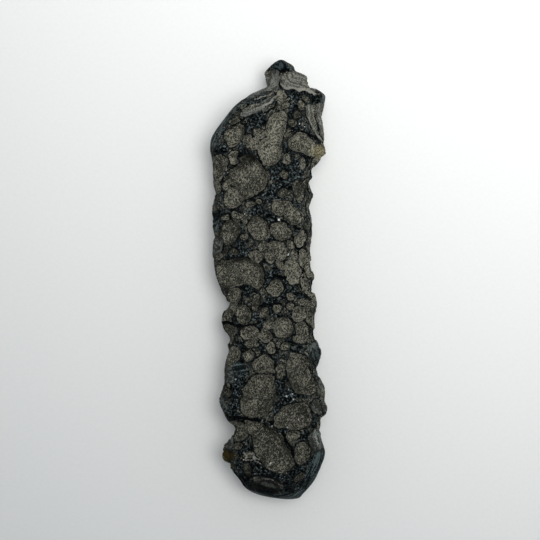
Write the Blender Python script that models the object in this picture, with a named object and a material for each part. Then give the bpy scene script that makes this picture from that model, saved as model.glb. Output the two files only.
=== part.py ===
"""A tektite: one long splash-form indochinite, a rod of black natural glass covered in etched pits.

The stone lies on its flatter side with its length along Y. The thin, broken tip points to +Y, the
blunt end to -Y, and +Z is up. The origin is on the resting plane, under the middle of the stone.
It is one piece of glass, so it is one object: a smooth rod lofted through a few stations, with its
knobs raised and its pits sunk along the rod's own normals, then thinned and worn flat underneath.
"""

import math
import random
from collections import namedtuple

import bmesh
import bpy
import numpy as np

MM = 0.001

# The rod, in millimetres: where along Y, left and right edge in X, underside and top in Z.
# The first and last stations are the poles of the two ends, where the rod closes to a point.
STATIONS = [
    (-45.0, 4.4, 4.4, 7.4, 7.4),
    (-44.7, 2.2, 6.6, 5.0, 10.0),
    (-44.0, -1.2, 7.4, 3.3, 12.0),
    (-43.0, -3.4, 8.3, 2.2, 13.4),
    (-41.5, -5.2, 9.4, 1.1, 14.7),
    (-39.5, -6.8, 10.7, 0.4, 15.6),
    (-37.5, -8.0, 11.4, 0.1, 16.3),
    (-35.0, -8.6, 11.8, -0.2, 16.8),
    (-32.4, -7.6, 11.5, -0.3, 17.0),
    (-30.0, -7.2, 11.3, -0.3, 17.1),
    (-28.4, -8.5, 10.9, -0.3, 17.2),
    (-27.2, -9.1, 12.1, -0.3, 17.2),
    (-25.0, -9.5, 12.0, -0.2, 17.2),
    (-22.0, -8.9, 11.7, -0.1, 17.1),
    (-19.0, -8.7, 10.7, 0.0, 16.8),
    (-16.0, -8.4, 11.3, 0.1, 16.4),
    (-13.2, -8.2, 10.6, 0.3, 16.1),
    (-11.6, -7.9, 9.9, 0.3, 16.0),
    (-9.6, -9.0, 10.0, 0.4, 15.9),
    (-7.5, -9.4, 9.8, 0.5, 15.8),
    (-4.6, -8.3, 10.2, 0.6, 15.9),
    (-2.0, -9.3, 9.5, 0.6, 16.1),
    (1.0, -10.4, 9.4, 0.5, 16.4),
    (4.6, -10.8, 9.2, 0.5, 16.6),
    (8.0, -11.0, 9.1, 0.3, 16.7),
    (12.0, -11.1, 9.5, 0.1, 16.8),
    (15.0, -11.2, 8.7, -0.1, 16.9),
    (17.4, -10.6, 9.0, -0.3, 17.2),
    (19.6, -10.6, 8.7, -0.3, 17.4),
    (21.0, -10.6, 9.8, -0.3, 17.5),
    (22.8, -11.0, 9.9, -0.2, 17.6),
    (24.0, -11.3, 10.9, -0.2, 17.6),
    (25.0, -11.5, 11.4, -0.2, 17.6),
    (26.5, -11.6, 11.6, -0.1, 17.6),
    (29.0, -11.0, 11.8, 0.1, 17.4),
    (31.5, -9.8, 11.6, 0.4, 17.1),
    (33.8, -8.1, 11.6, 0.8, 16.7),
    (36.0, -5.8, 11.9, 1.4, 16.1),
    (37.6, -3.4, 11.9, 2.1, 15.3),
    (38.7, -1.2, 10.4, 2.8, 14.0),
    (39.6, 0.1, 9.1, 3.5, 12.5),
    (41.2, -0.5, 9.5, 4.3, 11.4),
    (42.6, -0.8, 6.1, 5.2, 10.6),
    (43.8, 0.7, 5.4, 6.1, 9.8),
    (44.7, 2.0, 3.9, 6.9, 9.0),
    (45.0, 2.7, 2.7, 8.0, 8.0),
]
SQUARENESS = 2.5  # exponent of the rod's cross-section: 2 is an ellipse, more is squarer
SWELL, SWELL_SIZE = 0.22, 7.0  # height and breadth of the rod's gentle unevenness, in millimetres

# The larger pits on the upper side, as seen from above: points round each rim, X and Y in millimetres
OUTLINES = [
    # the tip: the facet right of its ridge, then the one left of it
    [
        (2.7, 42.1), (4, 42.4), (5.4, 42), (6.6, 41.2), (7.5, 40.2), (8.2, 39.2), (7.2, 38.6),
        (4, 38.9), (2.8, 39.6),
    ],
    [
        (2.3, 42.8), (0.8, 43), (-0.2, 42.2), (-0.4, 40.8), (0, 39.4), (1.2, 38.6), (2.2, 39.4),
        (2.5, 41.2),
    ],
    # the upper end
    [
        (1.3, 33.6), (2.2, 33.9), (3.4, 33.6), (4, 32.4), (3.9, 31), (3.7, 29.6), (3.2, 28.1),
        (2, 27.4), (0.7, 27.9), (-0.3, 29.2), (-0.1, 31), (0.3, 32.4),
    ],
    [
        (7.9, 35), (9.1, 35.1), (9.8, 34.3), (9.6, 33), (10, 31.6), (10.8, 28.6), (10.2, 28.8),
        (8.7, 31.8),
    ],
    [
        (-5.4, 31.1), (-4.4, 30.6), (-4.6, 29.2), (-6.4, 26.9), (-7.3, 26.8), (-8.7, 28.5),
        (-8.2, 29.6), (-6.9, 30.6),
    ],
    [(-0.6, 35.6), (-1.8, 34.2), (-3.4, 33.3), (-5.2, 32.9), (-5, 34), (-3.6, 34.9), (-1.8, 35.5)],
    [(-4.6, 32.7), (-5.6, 31.6), (-7.2, 31.2), (-7.6, 31.9), (-6.4, 32.9)],
    [
        (0.4, 28.6), (2, 28.4), (3.1, 27.6), (3.2, 26), (2.6, 24.2), (1.5, 23.1), (0.2, 22.8),
        (-0.9, 23.6), (-1.7, 25), (-1.3, 27.2),
    ],
    [
        (4.3, 27.4), (4.6, 26.4), (5.8, 25.8), (7.4, 25.1), (8.6, 24.9), (9.6, 25.6), (9.9, 26.9),
        (8.2, 29), (6.6, 29.5), (5.3, 28.9),
    ],
    [
        (-9.6, 25.2), (-8.5, 24.6), (-7.9, 23.4), (-8.2, 22.2), (-9.2, 20.9), (-10.3, 20),
        (-11, 21.2), (-11.3, 23), (-10.7, 24.6),
    ],
    [(-7.3, 25.7), (-6.1, 25.7), (-5.8, 24.4), (-6, 23.3), (-7.3, 23.2), (-7.7, 24.4)],
    [
        (-4.6, 25.2), (-2.8, 24.6), (-1.4, 23.4), (-0.4, 21.9), (0.1, 20.2), (-0.2, 18.6),
        (-1.6, 17.4), (-3.4, 16.4), (-4.8, 15.9), (-5.2, 17.2), (-6.4, 18.7), (-7.5, 19.6),
        (-7.8, 20.9), (-7, 22.2), (-5.6, 22.9), (-5.4, 24.2),
    ],
    [
        (-6.4, 18.6), (-5.2, 17.4), (-4.9, 16), (-5.5, 14.8), (-6.9, 14.2), (-8.2, 14.8),
        (-8.8, 16.2), (-7.6, 18.3),
    ],
    [
        (6, 19.9), (7.2, 19.8), (7.7, 18.2), (7.5, 16.6), (6.8, 15.4), (6, 16.2), (5.4, 17.6),
        (5.4, 19.2),
    ],
    # above the middle
    [
        (1.3, 15.4), (2.6, 16), (3.9, 15.6), (4.2, 14.4), (3.4, 13.2), (2.2, 12.9), (1.2, 13.6),
        (1, 14.6),
    ],
    [
        (4.2, 15.6), (5.4, 14.9), (6.3, 13.9), (6.9, 12.6), (6.6, 11.4), (5.6, 10.9), (4.4, 11.5),
        (3.2, 13.2), (4.2, 14.6),
    ],
    [
        (-7.2, 12), (-5.9, 11.4), (-5.4, 10.1), (-6, 8.4), (-7, 7.1), (-8.2, 7), (-8.9, 8.4),
        (-9.1, 9.8), (-8.6, 11.3),
    ],
    [
        (-2.4, 12.9), (-1, 12.3), (0.1, 11.3), (0.6, 10), (0.4, 8.8), (-0.7, 7.8), (-2.2, 8),
        (-3.3, 9), (-3.7, 10.3), (-3.4, 11.8),
    ],
    [
        (1.3, 11.3), (2.8, 11.6), (4.1, 10.9), (5.3, 9.5), (4.6, 8.3), (3.3, 7.6), (1.9, 8),
        (0.9, 9.1), (0.8, 10.3),
    ],
    [(7.7, 9.9), (8.2, 8.9), (7.8, 7.4), (6.9, 6.3), (6, 6.3), (5.5, 7.4), (5.8, 8.7), (6.6, 9.6)],
    [(7.3, 6.3), (8.2, 5.9), (8.5, 4.4), (8.2, 2.9), (7.4, 2.6), (6.6, 3.6), (6.3, 5), (6.6, 6.1)],
    [
        (0.6, 7.8), (2, 7.6), (3.2, 7.2), (4, 6.3), (4.2, 5.2), (3.5, 4.2), (2.5, 3.7), (1.4, 4.4),
        (0.5, 5.4), (0.1, 6.7),
    ],
    [(-3.5, 5.4), (-2.4, 6), (-1.2, 5.4), (-0.7, 4.4), (-1.4, 3.3), (-2.8, 3.5), (-3.6, 4.4)],
    # the middle
    [
        (-10.9, 3), (-9.6, 3.7), (-7.8, 3.7), (-6, 4.2), (-4.2, 4.2), (-3.2, 3.6), (-1.6, 3.1),
        (-0.5, 2.2), (-0.4, 0.6), (-0.9, -1), (-1.8, -2), (-3, -1.2), (-4.2, -0.7), (-6.4, -1.5),
        (-8.4, -1.5), (-9.6, -1), (-10.6, 0.2), (-11, 1.6),
    ],
    [
        (-7.8, -1.8), (-5.3, -1.8), (-5.2, -3), (-5.6, -4.8), (-6.1, -6.3), (-6.9, -7.3),
        (-7.7, -7), (-7.9, -5.4), (-7.6, -4),
    ],
    [
        (4.4, 4.6), (5.6, 3.9), (6.6, 2.9), (7.4, 1.6), (7, 0.4), (6.4, -0.6), (5.4, -1.2),
        (4.5, -0.5), (3.9, 0.8), (3.6, 2.6),
    ],
    [
        (6.6, 0.1), (7.8, 0.3), (8.5, -0.8), (8.9, -2.3), (9.3, -3.6), (8.6, -3.8), (7.6, -3),
        (6.8, -1.9), (6.4, -0.9),
    ],
    [
        (0.5, -0.8), (1.4, -0.1), (2.6, -0.1), (3.4, -1.2), (3.1, -2.6), (2, -3.4), (0.6, -2.9),
        (0, -1.9),
    ],
    [
        (-5.2, -5.1), (-4.2, -5.2), (-3.4, -6), (-3.1, -7.1), (-3.6, -8.3), (-4.9, -8.9),
        (-5.9, -8.3), (-6.2, -7.2), (-6, -6),
    ],
    [(6.2, -4), (7.6, -3.7), (8.8, -4.3), (9.3, -5.2), (8.6, -5.7), (7.6, -5.2), (6.4, -5.2)],
    [(6.2, -5.6), (7.2, -5.5), (8.6, -5.9), (8.8, -7), (7.8, -8), (6.6, -8.6), (5.4, -8), (5.1, -6.9)],
    [
        (1.9, -8.1), (3.1, -7.5), (4.5, -7.9), (5.3, -9), (5.4, -10.2), (4.6, -11.3), (3.1, -11.7),
        (1.8, -11.1), (1.4, -9.7),
    ],
    [(6.2, -8.8), (7.6, -8.6), (8.5, -9.6), (8.4, -10.9), (7.4, -11.4), (6.2, -11), (5.7, -9.9)],
    [(5.2, -11.6), (6.4, -11.2), (7.6, -11.5), (8.2, -12.2), (7.2, -12.9), (5.8, -12.8)],
    [
        (-4.4, -9.5), (-2.9, -9.3), (-1.9, -10), (-1.6, -11.3), (-2.6, -12.1), (-4, -12),
        (-5.4, -11.4), (-5.6, -10.4),
    ],
    [(-1.3, -10.3), (-0.2, -9.9), (0.8, -10.6), (1, -11.8), (0.1, -12.6), (-0.9, -12.4), (-1.6, -11.4)],
    [
        (-7.8, -9.5), (-6.4, -9.3), (-6, -10.4), (-6.6, -11.8), (-7.2, -12.9), (-8.2, -12.6),
        (-8, -11.4), (-8.6, -10.4),
    ],
    # below the middle
    [
        (-6.9, -13.4), (-5.7, -13.8), (-5.2, -15), (-5.7, -16.3), (-7.6, -17.8), (-8.3, -17),
        (-8.2, -15.4), (-7.7, -14.2),
    ],
    [(-4.3, -14.2), (-3.1, -14), (-2.6, -15.2), (-3.2, -16.5), (-4.3, -16.5), (-4.8, -15.4)],
    [
        (-2.9, -17.2), (-2.4, -16.2), (-1.2, -15.5), (0, -15.1), (1, -15.8), (1.6, -17),
        (1.6, -18.3), (0.4, -18.6), (-2.3, -18.4),
    ],
    [
        (-2.6, -19.2), (-1.2, -18.8), (0.6, -18.9), (1.7, -19.6), (1.7, -21.4), (1.5, -23.4),
        (1.2, -25.4), (0.4, -26.8), (-1.4, -27.5), (-3.4, -27.6), (-4.9, -26.8), (-5.4, -25.2),
        (-5, -23.2), (-4.5, -21.4), (-3.6, -20.1),
    ],
    [(2.2, -16.8), (3.1, -16.6), (3.6, -18.2), (3.3, -19.8), (2.3, -19.9), (2, -18.4)],
    [
        (5.4, -14.4), (6.8, -15), (8.1, -16.2), (8.6, -17.8), (9.2, -19.4), (10, -21),
        (9.9, -22.2), (9, -23), (7.4, -23.1), (6, -22.4), (4.9, -21), (4.1, -19.6), (3.8, -18),
        (4.1, -16.4), (4.6, -15.2),
    ],
    [(-8.7, -18), (-7.4, -18.2), (-6.9, -19.6), (-7.4, -21), (-8.6, -21), (-9.1, -19.6)],
    [
        (1.4, -28.6), (1.9, -27), (3, -25.9), (4.6, -25.1), (6.4, -24.7), (7.9, -25), (8.9, -26.2),
        (9.2, -27.8), (8.8, -29.3), (7.4, -29.8), (5.6, -30), (3.6, -29.6), (2, -29.6),
    ],
    [(9.4, -24), (10.2, -25), (11.4, -26.6), (11, -27.4), (9.9, -26.8), (9.2, -25.6)],
    [
        (-4.6, -28.2), (-2.6, -28.3), (-0.6, -29.1), (1.4, -30.1), (3, -31.6), (4.2, -33.4),
        (5, -35.2), (5.4, -36.8), (4.8, -38.2), (3.2, -38.7), (1.4, -38.6), (-0.2, -37.6),
        (-1.4, -36), (-2.4, -34.4), (-2.6, -32.8), (-3.2, -31), (-4.4, -29.8),
    ],
    [
        (-7.6, -28.9), (-6.2, -28.2), (-4.9, -29), (-4, -30.4), (-4, -31.6), (-4.9, -32.5),
        (-6.3, -32.3), (-6.9, -31),
    ],
    [(4.1, -30.6), (5.4, -30.2), (6.6, -30.6), (6.4, -31.8), (5.4, -32.7), (4.2, -32.2)],
    [
        (7, -32.6), (8.3, -33.4), (9, -34.8), (8.6, -36.2), (7.2, -37.2), (5.9, -36.6), (5.4, -35),
        (5.9, -33.4),
    ],
    [
        (8.4, -31.6), (9.4, -30.3), (10.3, -29.9), (10.7, -31.4), (10.8, -33.2), (10.4, -34.6),
        (9.6, -34.2), (8.8, -33),
    ],
    [
        (-3, -40), (-1.2, -39.5), (0.8, -39.9), (2.4, -40.7), (3.4, -41.8), (2.2, -42.2),
        (0.2, -41.9), (-1.6, -41.2),
    ],
]
# The small round pits between them: X, Y, half length, half width, turn of the length from X in degrees
ROUND_PITS = [
    (2.9, 37.2, 1.2, 1.0, 90),
    (3.35, 35.1, 1.4, 1.1, 0),
    (6.85, 35.0, 0.9, 0.75, 90),
    (6.1, 33.2, 0.9, 0.8, 0),
    (-1.5, 29.3, 1.4, 1.1, -20),
    (-3.9, 28.1, 1.1, 0.9, 60),
    (-2.5, 27.0, 1.5, 1.3, 40),
    (4.3, 29.3, 1.1, 0.6, 75),
    (5.2, 31.5, 0.9, 0.7, 0),
    (-8.0, 19.0, 1.1, 0.8, 60),
    (4.1, 24.1, 1.1, 0.9, 80),
    (7.2, 23.2, 1.1, 0.7, 80),
    (3.4, 17.5, 0.9, 0.7, 20),
    (-3.2, 15.1, 0.9, 0.7, 0),
    (-6.0, 13.0, 1.1, 0.6, -20),
    (-4.7, 12.2, 1.1, 0.7, 110),
    (4.8, 7.0, 0.9, 0.7, -45),
    (5.5, 4.9, 1.1, 0.7, 100),
    (-0.6, 6.8, 1.1, 0.8, 60),
    (0.6, 4.4, 1.2, 0.85, -45),
    (2.7, 2.8, 1.2, 0.8, -50),
    (-9.9, 7.0, 1.8, 0.7, 95),
    (-9.7, 4.7, 0.9, 0.7, 0),
    (-6.6, 5.6, 0.9, 0.7, 20),
    (-2.2, -4.5, 1.7, 0.85, 80),
    (4.7, -5.4, 1.0, 0.9, 0),
    (2.2, -5.8, 0.9, 0.8, 60),
    (-0.6, -6.8, 1.2, 0.9, 50),
    (0.4, -9.0, 1.1, 1.0, 0),
    (-3.1, -12.9, 1.4, 0.75, 0),
    (0.9, -13.6, 1.1, 0.9, 90),
    (3.7, -13.3, 1.0, 0.9, 0),
    (-8.0, -22.8, 0.9, 0.8, 0),
    (8.3, -27.9, 1.2, 0.9, 85),
    (-3.8, -38.2, 1.5, 0.9, 90),
    (-3.6, -35.2, 1.2, 0.7, 20),
    (6.8, -39.7, 1.2, 0.8, 30),
]
# Pits on the flanks: height of the middle in Z, Y, half height, half length, depth. Millimetres.
LEFT_PITS = [
    (9.4, 18.6, 3.0, 1.6, 0.5),
    (5.2, 21.6, 2.2, 1.5, 0.5),
    (9.8, 13.4, 2.0, 1.2, 0.4),
    (8.8, 8.9, 2.2, 1.3, 0.4),
    (5.8, 4.6, 2.2, 1.8, 0.6),
    (10.6, -0.6, 1.6, 1.4, 0.5),
    (8.6, -4.5, 3.4, 1.9, 0.8),
    (8.0, -12.0, 2.8, 1.7, 0.5),
    (9.0, -15.0, 2.4, 1.5, 0.6),
    (6.0, -20.0, 3.2, 2.2, 0.5),
    (5.0, -25.4, 2.0, 1.9, 0.5),
    (8.6, -30.9, 4.0, 2.4, 1.5),
    (9.4, -40.8, 2.0, 1.3, 0.5),
]
RIGHT_PITS = [
    (9.8, 33.0, 3.0, 2.0, 0.6),
    (5.0, 29.6, 2.2, 1.6, 0.5),
    (8.6, 20.6, 3.0, 1.5, 0.5),
    (9.6, 15.0, 2.4, 1.3, 0.6),
    (6.4, 11.2, 2.6, 2.1, 0.4),
    (9.0, 6.2, 2.6, 1.7, 0.5),
    (8.4, 2.8, 2.6, 1.4, 0.6),
    (8.2, -1.7, 3.2, 1.4, 0.6),
    (8.8, -8.6, 3.0, 1.9, 0.2),
    (7.6, -11.2, 2.6, 1.5, 0.5),
    (9.2, -18.9, 3.2, 1.7, 0.4),
    (8.4, -24.3, 1.8, 1.0, 0.5),
    (8.6, -30.6, 3.6, 2.1, 0.8),
    (7.0, -38.4, 2.6, 1.7, 0.4),
]
# Knobs of thin glass on the flanks: X, Y, Z, radius, height. Millimetres.
KNOBS = [
    (11.2, 26.0, 9.6, 1.9, 0.7),
    (11.4, 37.2, 13.2, 1.7, 0.4),
    (-8.2, -36.1, 9.4, 3.0, 2.8),
    (-6.9, -35.6, 14.2, 1.0, 0.4),
    (11.9, -26.2, 9.6, 1.5, 0.4),
    (-9.3, -8.9, 10.2, 1.2, 0.7),
    (9.0, 17.2, 9.4, 0.9, 0.5),
    (9.3, 0.5, 10.0, 1.2, 0.4),
    (10.6, -15.0, 10.0, 1.6, 0.3),
]

# Pits on the sides that are hidden from above, scattered with a fixed seed
HIDDEN_PITS = 330
HIDDEN_SEED = 11
HIDDEN_SIZES = (0.9, 3.6)  # smallest and largest half length, in millimetres
HIDDEN_SMALL_BIAS = 2.0  # how strongly small pits outnumber large ones
HIDDEN_SPACING = 0.78  # least distance between two middles, as a share of their two sizes
HIDDEN_TURNED = 0.42  # largest upward part of the normal where they are scattered
SMOOTH_PLACES = [  # two opposite corners each of the places that stay free of them
    ((-14, 23, 6), (-4, 42, 20)),
    ((-5, -47, 5), (14, -33, 20)),
    ((-14, 9, 5), (-8, 12, 14)),
]

WALL_SHARE = 0.9  # how far a pit's wall slopes in from its rim, as a share of its half width
WALL_LIMIT = 1.3  # the same at most, in millimetres, so that a wide pit has a level floor
DEEPEN = 0.78  # depth of a pit of 1 mm half width, in millimetres
RAGGED, RAGGED_SIZE = 0.16, 2.2  # how far a rim wanders from its outline, and over what length
WHOLE_SIDE = 99  # reach of a pit that is placed by its outline alone, in millimetres

WEAR = 0.3  # how much of the lowest ridges is worn off flat where the stone rests, in millimetres
RINGS, AROUND = 420, 250
TRIANGLES = 9400

Pit = namedtuple("Pit", "middle facing across outline depth near")


def unit(v):
    v = np.asarray(v, float)
    return v / np.linalg.norm(v)


def waves(points, size, seed, count=8):
    """A smooth random unevenness, mostly from -1 to 1: plane waves about this long, summed."""
    rng = random.Random(seed)
    total = np.zeros(len(points))
    for _ in range(count):
        direction = unit([rng.gauss(0, 1) for _ in range(points.shape[1])])
        length = size * rng.uniform(0.7, 1.5)
        total += np.sin(points @ direction * (2 * math.pi / length) + rng.uniform(0, 2 * math.pi))
    return total / math.sqrt(count)


def curve_through(points, t, before, after):
    """Points at t, where t counts the given points, along a smooth curve through them all."""
    padded = np.vstack([before, points, after])
    k = np.clip(np.floor(t).astype(int), 0, len(points) - 2)
    f = (t - k)[:, None]
    a, b, c, d = (padded[k + i] for i in range(4))
    # the tangents allow for points that stand unevenly apart
    ab, bc, cd = (np.linalg.norm(q - p, axis=1)[:, None] for p, q in ((a, b), (b, c), (c, d)))
    leaving = (c - a) / (ab + bc) * bc
    arriving = (d - b) / (bc + cd) * bc
    smooth = 3 * f**2 - 2 * f**3
    return (1 - smooth) * b + smooth * c + (f**3 - 2 * f**2 + f) * leaving + (f**3 - f**2) * arriving


def closed_curve(corners, steps=4):
    """A closed smooth curve through these corners, as a polygon with this many points a corner."""
    ring = np.vstack([corners, corners[:1]])
    t = np.arange(len(corners) * steps) / steps
    return curve_through(ring, t, corners[-1:], corners[1:2])


def stations_at(t):
    """Y, left, right, low and high of the rod at t, where t counts the stations."""
    stations = np.array(STATIONS, float)
    # beyond each pole the rod's left becomes its right, and its underside its top
    mirrored = stations[:, [0, 2, 1, 4, 3]]
    return curve_through(stations, t, mirrored[1:2], mirrored[-2:-1]).T


def even_places():
    """A table from the share of the way over the rod's skin, end to end, to the station count."""
    t = np.linspace(0, len(STATIONS) - 1, 1500)
    y, left, right, low, high = stations_at(t)
    profile = np.column_stack([y, (right - left) / 2, (high - low) / 2])
    way = np.concatenate([[0], np.cumsum(np.linalg.norm(np.diff(profile, axis=0), axis=1))])
    return way / way[-1], t


def rod_points(along, around):
    """Points on the smooth rod: along runs from 0 to 1, around is an angle from the top towards +X."""
    share, count = even_places()
    y, left, right, low, high = stations_at(np.interp(along, share, count))
    power = 2 / SQUARENESS
    across = np.sign(np.sin(around)) * np.abs(np.sin(around)) ** power
    upward = np.sign(np.cos(around)) * np.abs(np.cos(around)) ** power
    middle = np.column_stack([(left + right) / 2, y, (low + high) / 2])
    radius = np.column_stack([(right - left) / 2 * across, np.zeros(len(y)), (high - low) / 2 * upward])
    # the swelling fades at the poles, where every direction around meets
    fade = np.clip(np.minimum(along, 1 - along) * 12, 0, 1)
    swell = SWELL * fade * waves(middle + radius, SWELL_SIZE, seed=3)
    outward = radius / np.maximum(np.linalg.norm(radius, axis=1), 1e-9)[:, None]
    return middle + radius + outward * swell[:, None]


def rod_normals(along, around, step=1e-3):
    """Outward normals of the smooth rod, from two short steps over its skin."""
    on = rod_points(along, around)
    ahead = rod_points(along + step, around) - on
    beside = rod_points(along, around + 4 * step) - on
    normals = np.cross(beside, ahead)
    return normals / np.linalg.norm(normals, axis=1)[:, None]


def rod_mesh():
    """The smooth rod as a closed mesh of rings, in millimetres."""
    along = np.repeat(np.arange(1, RINGS) / RINGS, AROUND)
    around = np.tile(np.arange(AROUND) * (2 * math.pi / AROUND), RINGS - 1)
    rings = rod_points(along, around)
    poles = rod_points(np.array([0.0, 1.0]), np.array([0.0, 0.0]))
    near_pole, far_pole = len(rings), len(rings) + 1
    last = (RINGS - 2) * AROUND
    faces = []
    for j in range(AROUND):
        k = (j + 1) % AROUND
        faces.append((near_pole, k, j))
        faces.append((far_pole, last + j, last + k))
        for row in range(0, last, AROUND):
            faces.append((row + j, row + k, row + AROUND + k, row + AROUND + j))
    mesh = bpy.data.meshes.new("tektite")
    mesh.from_pydata(np.vstack([rings, poles]).tolist(), [], faces)
    mesh.update()
    return mesh


def values_of(mesh, name):
    """A mesh's vertex positions ("co") or normals ("normal") as an array."""
    found = np.empty(len(mesh.vertices) * 3, np.float32)
    mesh.vertices.foreach_get(name, found)
    return found.reshape(-1, 3).astype(float)


def ellipse(long_half, wide_half, turn=0.0):
    """Corners of an ellipse whose length is turned this far from the first axis, in radians."""
    angle = np.arange(12) * (2 * math.pi / 12)
    u, v = long_half * np.cos(angle), wide_half * np.sin(angle)
    c, s = math.cos(turn), math.sin(turn)
    return np.column_stack([u * c - v * s, u * s + v * c])


def depth_for(half):
    """The usual depth of a pit whose half width is this, in millimetres."""
    return DEEPEN * half**0.8


def half_width(outline):
    """Half the smaller breadth of an outline, from its area and its length."""
    x, y = outline.T
    area = abs(np.dot(x, np.roll(y, 1)) - np.dot(y, np.roll(x, 1))) / 2
    length = np.max(np.linalg.norm(outline - outline.mean(axis=0), axis=1))
    return area / (math.pi * length)


def seen_pits():
    """The pits on the upper side and on both flanks."""
    from_above = (0, 0, 0), (0, 0, 1), (1, 0, 0)
    pits = []
    for corners in OUTLINES:
        corners = np.array(corners, float)
        pits.append(Pit(*from_above, corners, depth_for(half_width(corners)), WHOLE_SIDE))
    for x, y, long_half, wide_half, turn in ROUND_PITS:
        corners = ellipse(long_half, wide_half, math.radians(turn)) + (x, y)
        pits.append(Pit(*from_above, corners, depth_for(wide_half), WHOLE_SIDE))
    for rows, side in ((LEFT_PITS, -1), (RIGHT_PITS, 1)):
        for z, y, tall_half, long_half, depth in rows:
            corners = ellipse(long_half, tall_half) * (side, 1) + (side * y, z)
            pits.append(Pit((0, 0, 0), (side, 0, 0), (0, side, 0), corners, depth, WHOLE_SIDE))
    return pits


def is_smooth(point):
    """Whether a point lies in one of the places that have no scattered pits."""
    return any(np.all(point > low) and np.all(point < high) for low, high in SMOOTH_PLACES)


def hidden_pits():
    """Pits scattered over the underside, the low flanks and the ends, each in its tangent plane."""
    rng = random.Random(HIDDEN_SEED)
    smallest, largest = HIDDEN_SIZES
    tries = 14 * HIDDEN_PITS
    along = np.array([rng.uniform(0.012, 0.988) for _ in range(tries)])
    around = np.array([rng.uniform(0, 2 * math.pi) for _ in range(tries)])
    pits, sizes = [], []
    for middle, normal in zip(rod_points(along, around), rod_normals(along, around)):
        size = smallest + (largest - smallest) * rng.random() ** HIDDEN_SMALL_BIAS
        narrowing, turn = rng.uniform(0.62, 0.95), rng.uniform(0, math.pi)
        if normal[2] > HIDDEN_TURNED or len(pits) == HIDDEN_PITS or is_smooth(middle):
            continue
        apart = [np.linalg.norm(middle - pit.middle) for pit in pits]
        if any(a < HIDDEN_SPACING * (size + other) for a, other in zip(apart, sizes)):
            continue
        across = unit(np.cross((0.0, 1.0, 0.01), normal))
        corners = ellipse(size, size * narrowing, turn)
        pits.append(Pit(middle, normal, across, corners, depth_for(size * narrowing), 1.4 * size))
        sizes.append(size)
    return pits


def inside_distance(u, v, outline):
    """How far inside an outline each point lies: 0 on its rim and beyond it."""
    nearest = np.full(len(u), np.inf)
    inside = np.zeros(len(u), bool)
    for (u0, v0), (u1, v1) in zip(outline, np.roll(outline, -1, axis=0)):
        du, dv = u1 - u0, v1 - v0
        f = np.clip(((u - u0) * du + (v - v0) * dv) / (du * du + dv * dv), 0, 1)
        nearest = np.minimum(nearest, (u - u0 - f * du) ** 2 + (v - v0 - f * dv) ** 2)
        crosses = (v0 > v) != (v1 > v)
        if v0 != v1:
            inside ^= crosses & (u < u0 + (v - v0) / dv * du)
    return np.where(inside, np.sqrt(nearest), 0.0)


def pit_depths(points, normals, pits):
    """How deep each point lies in the deepest pit that holds it, in millimetres."""
    deepest = np.zeros(len(points))
    wander = RAGGED * np.column_stack([waves(points, RAGGED_SIZE, seed) for seed in (21, 22, 23)])
    for pit in pits:
        facing, across = unit(pit.facing), unit(pit.across)
        upward = np.cross(facing, across)
        towards = normals @ facing
        offset = points + wander - pit.middle
        u, v = offset @ across, offset @ upward
        low, high = pit.outline.min(axis=0) - 0.3, pit.outline.max(axis=0) + 0.3
        near = (u > low[0]) & (u < high[0]) & (v > low[1]) & (v < high[1])
        near &= (towards > 0.02) & (np.abs(offset @ facing) < pit.near)
        if not near.any():
            continue
        wall = min(WALL_SHARE * half_width(pit.outline), WALL_LIMIT)
        distance = inside_distance(u[near], v[near], closed_curve(pit.outline))
        depth = pit.depth * (1 - (1 - np.clip(distance / wall, 0, 1)) ** 2)
        # a pit placed by its outline fades where the skin turns away from that view
        depth *= np.clip((towards[near] - 0.02) / 0.3, 0, 1)
        deepest[near] = np.maximum(deepest[near], depth)
    return deepest


def knob_heights(points):
    """How far each point is raised by the knobs, in millimetres."""
    raised = np.zeros(len(points))
    for x, y, z, radius, height in KNOBS:
        apart = np.linalg.norm(points - (x, y, z), axis=1) / radius
        raised += height * np.clip(1 - apart**2, 0, None) ** 1.5
    return raised


def carve(mesh):
    """Raises the knobs and sinks the pits of the smooth rod along its normals."""
    points, normals = values_of(mesh, "co"), values_of(mesh, "normal")
    depths = pit_depths(points, normals, seen_pits() + hidden_pits())
    points += normals * (knob_heights(points) - depths)[:, None]
    mesh.vertices.foreach_set("co", points.astype(np.float32).ravel())
    mesh.update()


def thin_out(mesh):
    """The same surface with fewer triangles, kept where the pits' rims need them."""
    triangles = sum(len(face.vertices) - 2 for face in mesh.polygons)
    rough = bpy.data.objects.new("rough", mesh)
    bpy.context.scene.collection.objects.link(rough)
    thinner = rough.modifiers.new("thinner", "DECIMATE")
    thinner.ratio = TRIANGLES / triangles
    bpy.context.view_layer.update()
    thin = bpy.data.meshes.new_from_object(rough.evaluated_get(bpy.context.evaluated_depsgraph_get()))
    bpy.data.objects.remove(rough)
    return thin


def rest_on_plane(mesh):
    """Wears the lowest ridges flat and moves the stone so that they lie on Z = 0, centred in X and Y."""
    points = values_of(mesh, "co")
    low, high = points.min(axis=0), points.max(axis=0)
    worn_to = low[2] + WEAR
    bm = bmesh.new()
    bm.from_mesh(mesh)
    everything = bm.verts[:] + bm.edges[:] + bm.faces[:]
    bmesh.ops.bisect_plane(
        bm, geom=everything, plane_co=(0, 0, worn_to), plane_no=(0, 0, -1), clear_outer=True
    )
    # a flat that rings a pit leaves the pit open
    rims = [edge for edge in bm.edges if edge.is_boundary]
    bmesh.ops.triangle_fill(bm, edges=rims, use_beauty=True, normal=(0, 0, -1))
    middle = (low + high) / 2
    bmesh.ops.translate(bm, verts=bm.verts, vec=(-middle[0], -middle[1], -worn_to))
    bmesh.ops.scale(bm, verts=bm.verts, vec=(MM, MM, MM))
    bmesh.ops.triangulate(bm, faces=bm.faces)
    bm.to_mesh(mesh)
    bm.free()


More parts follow.
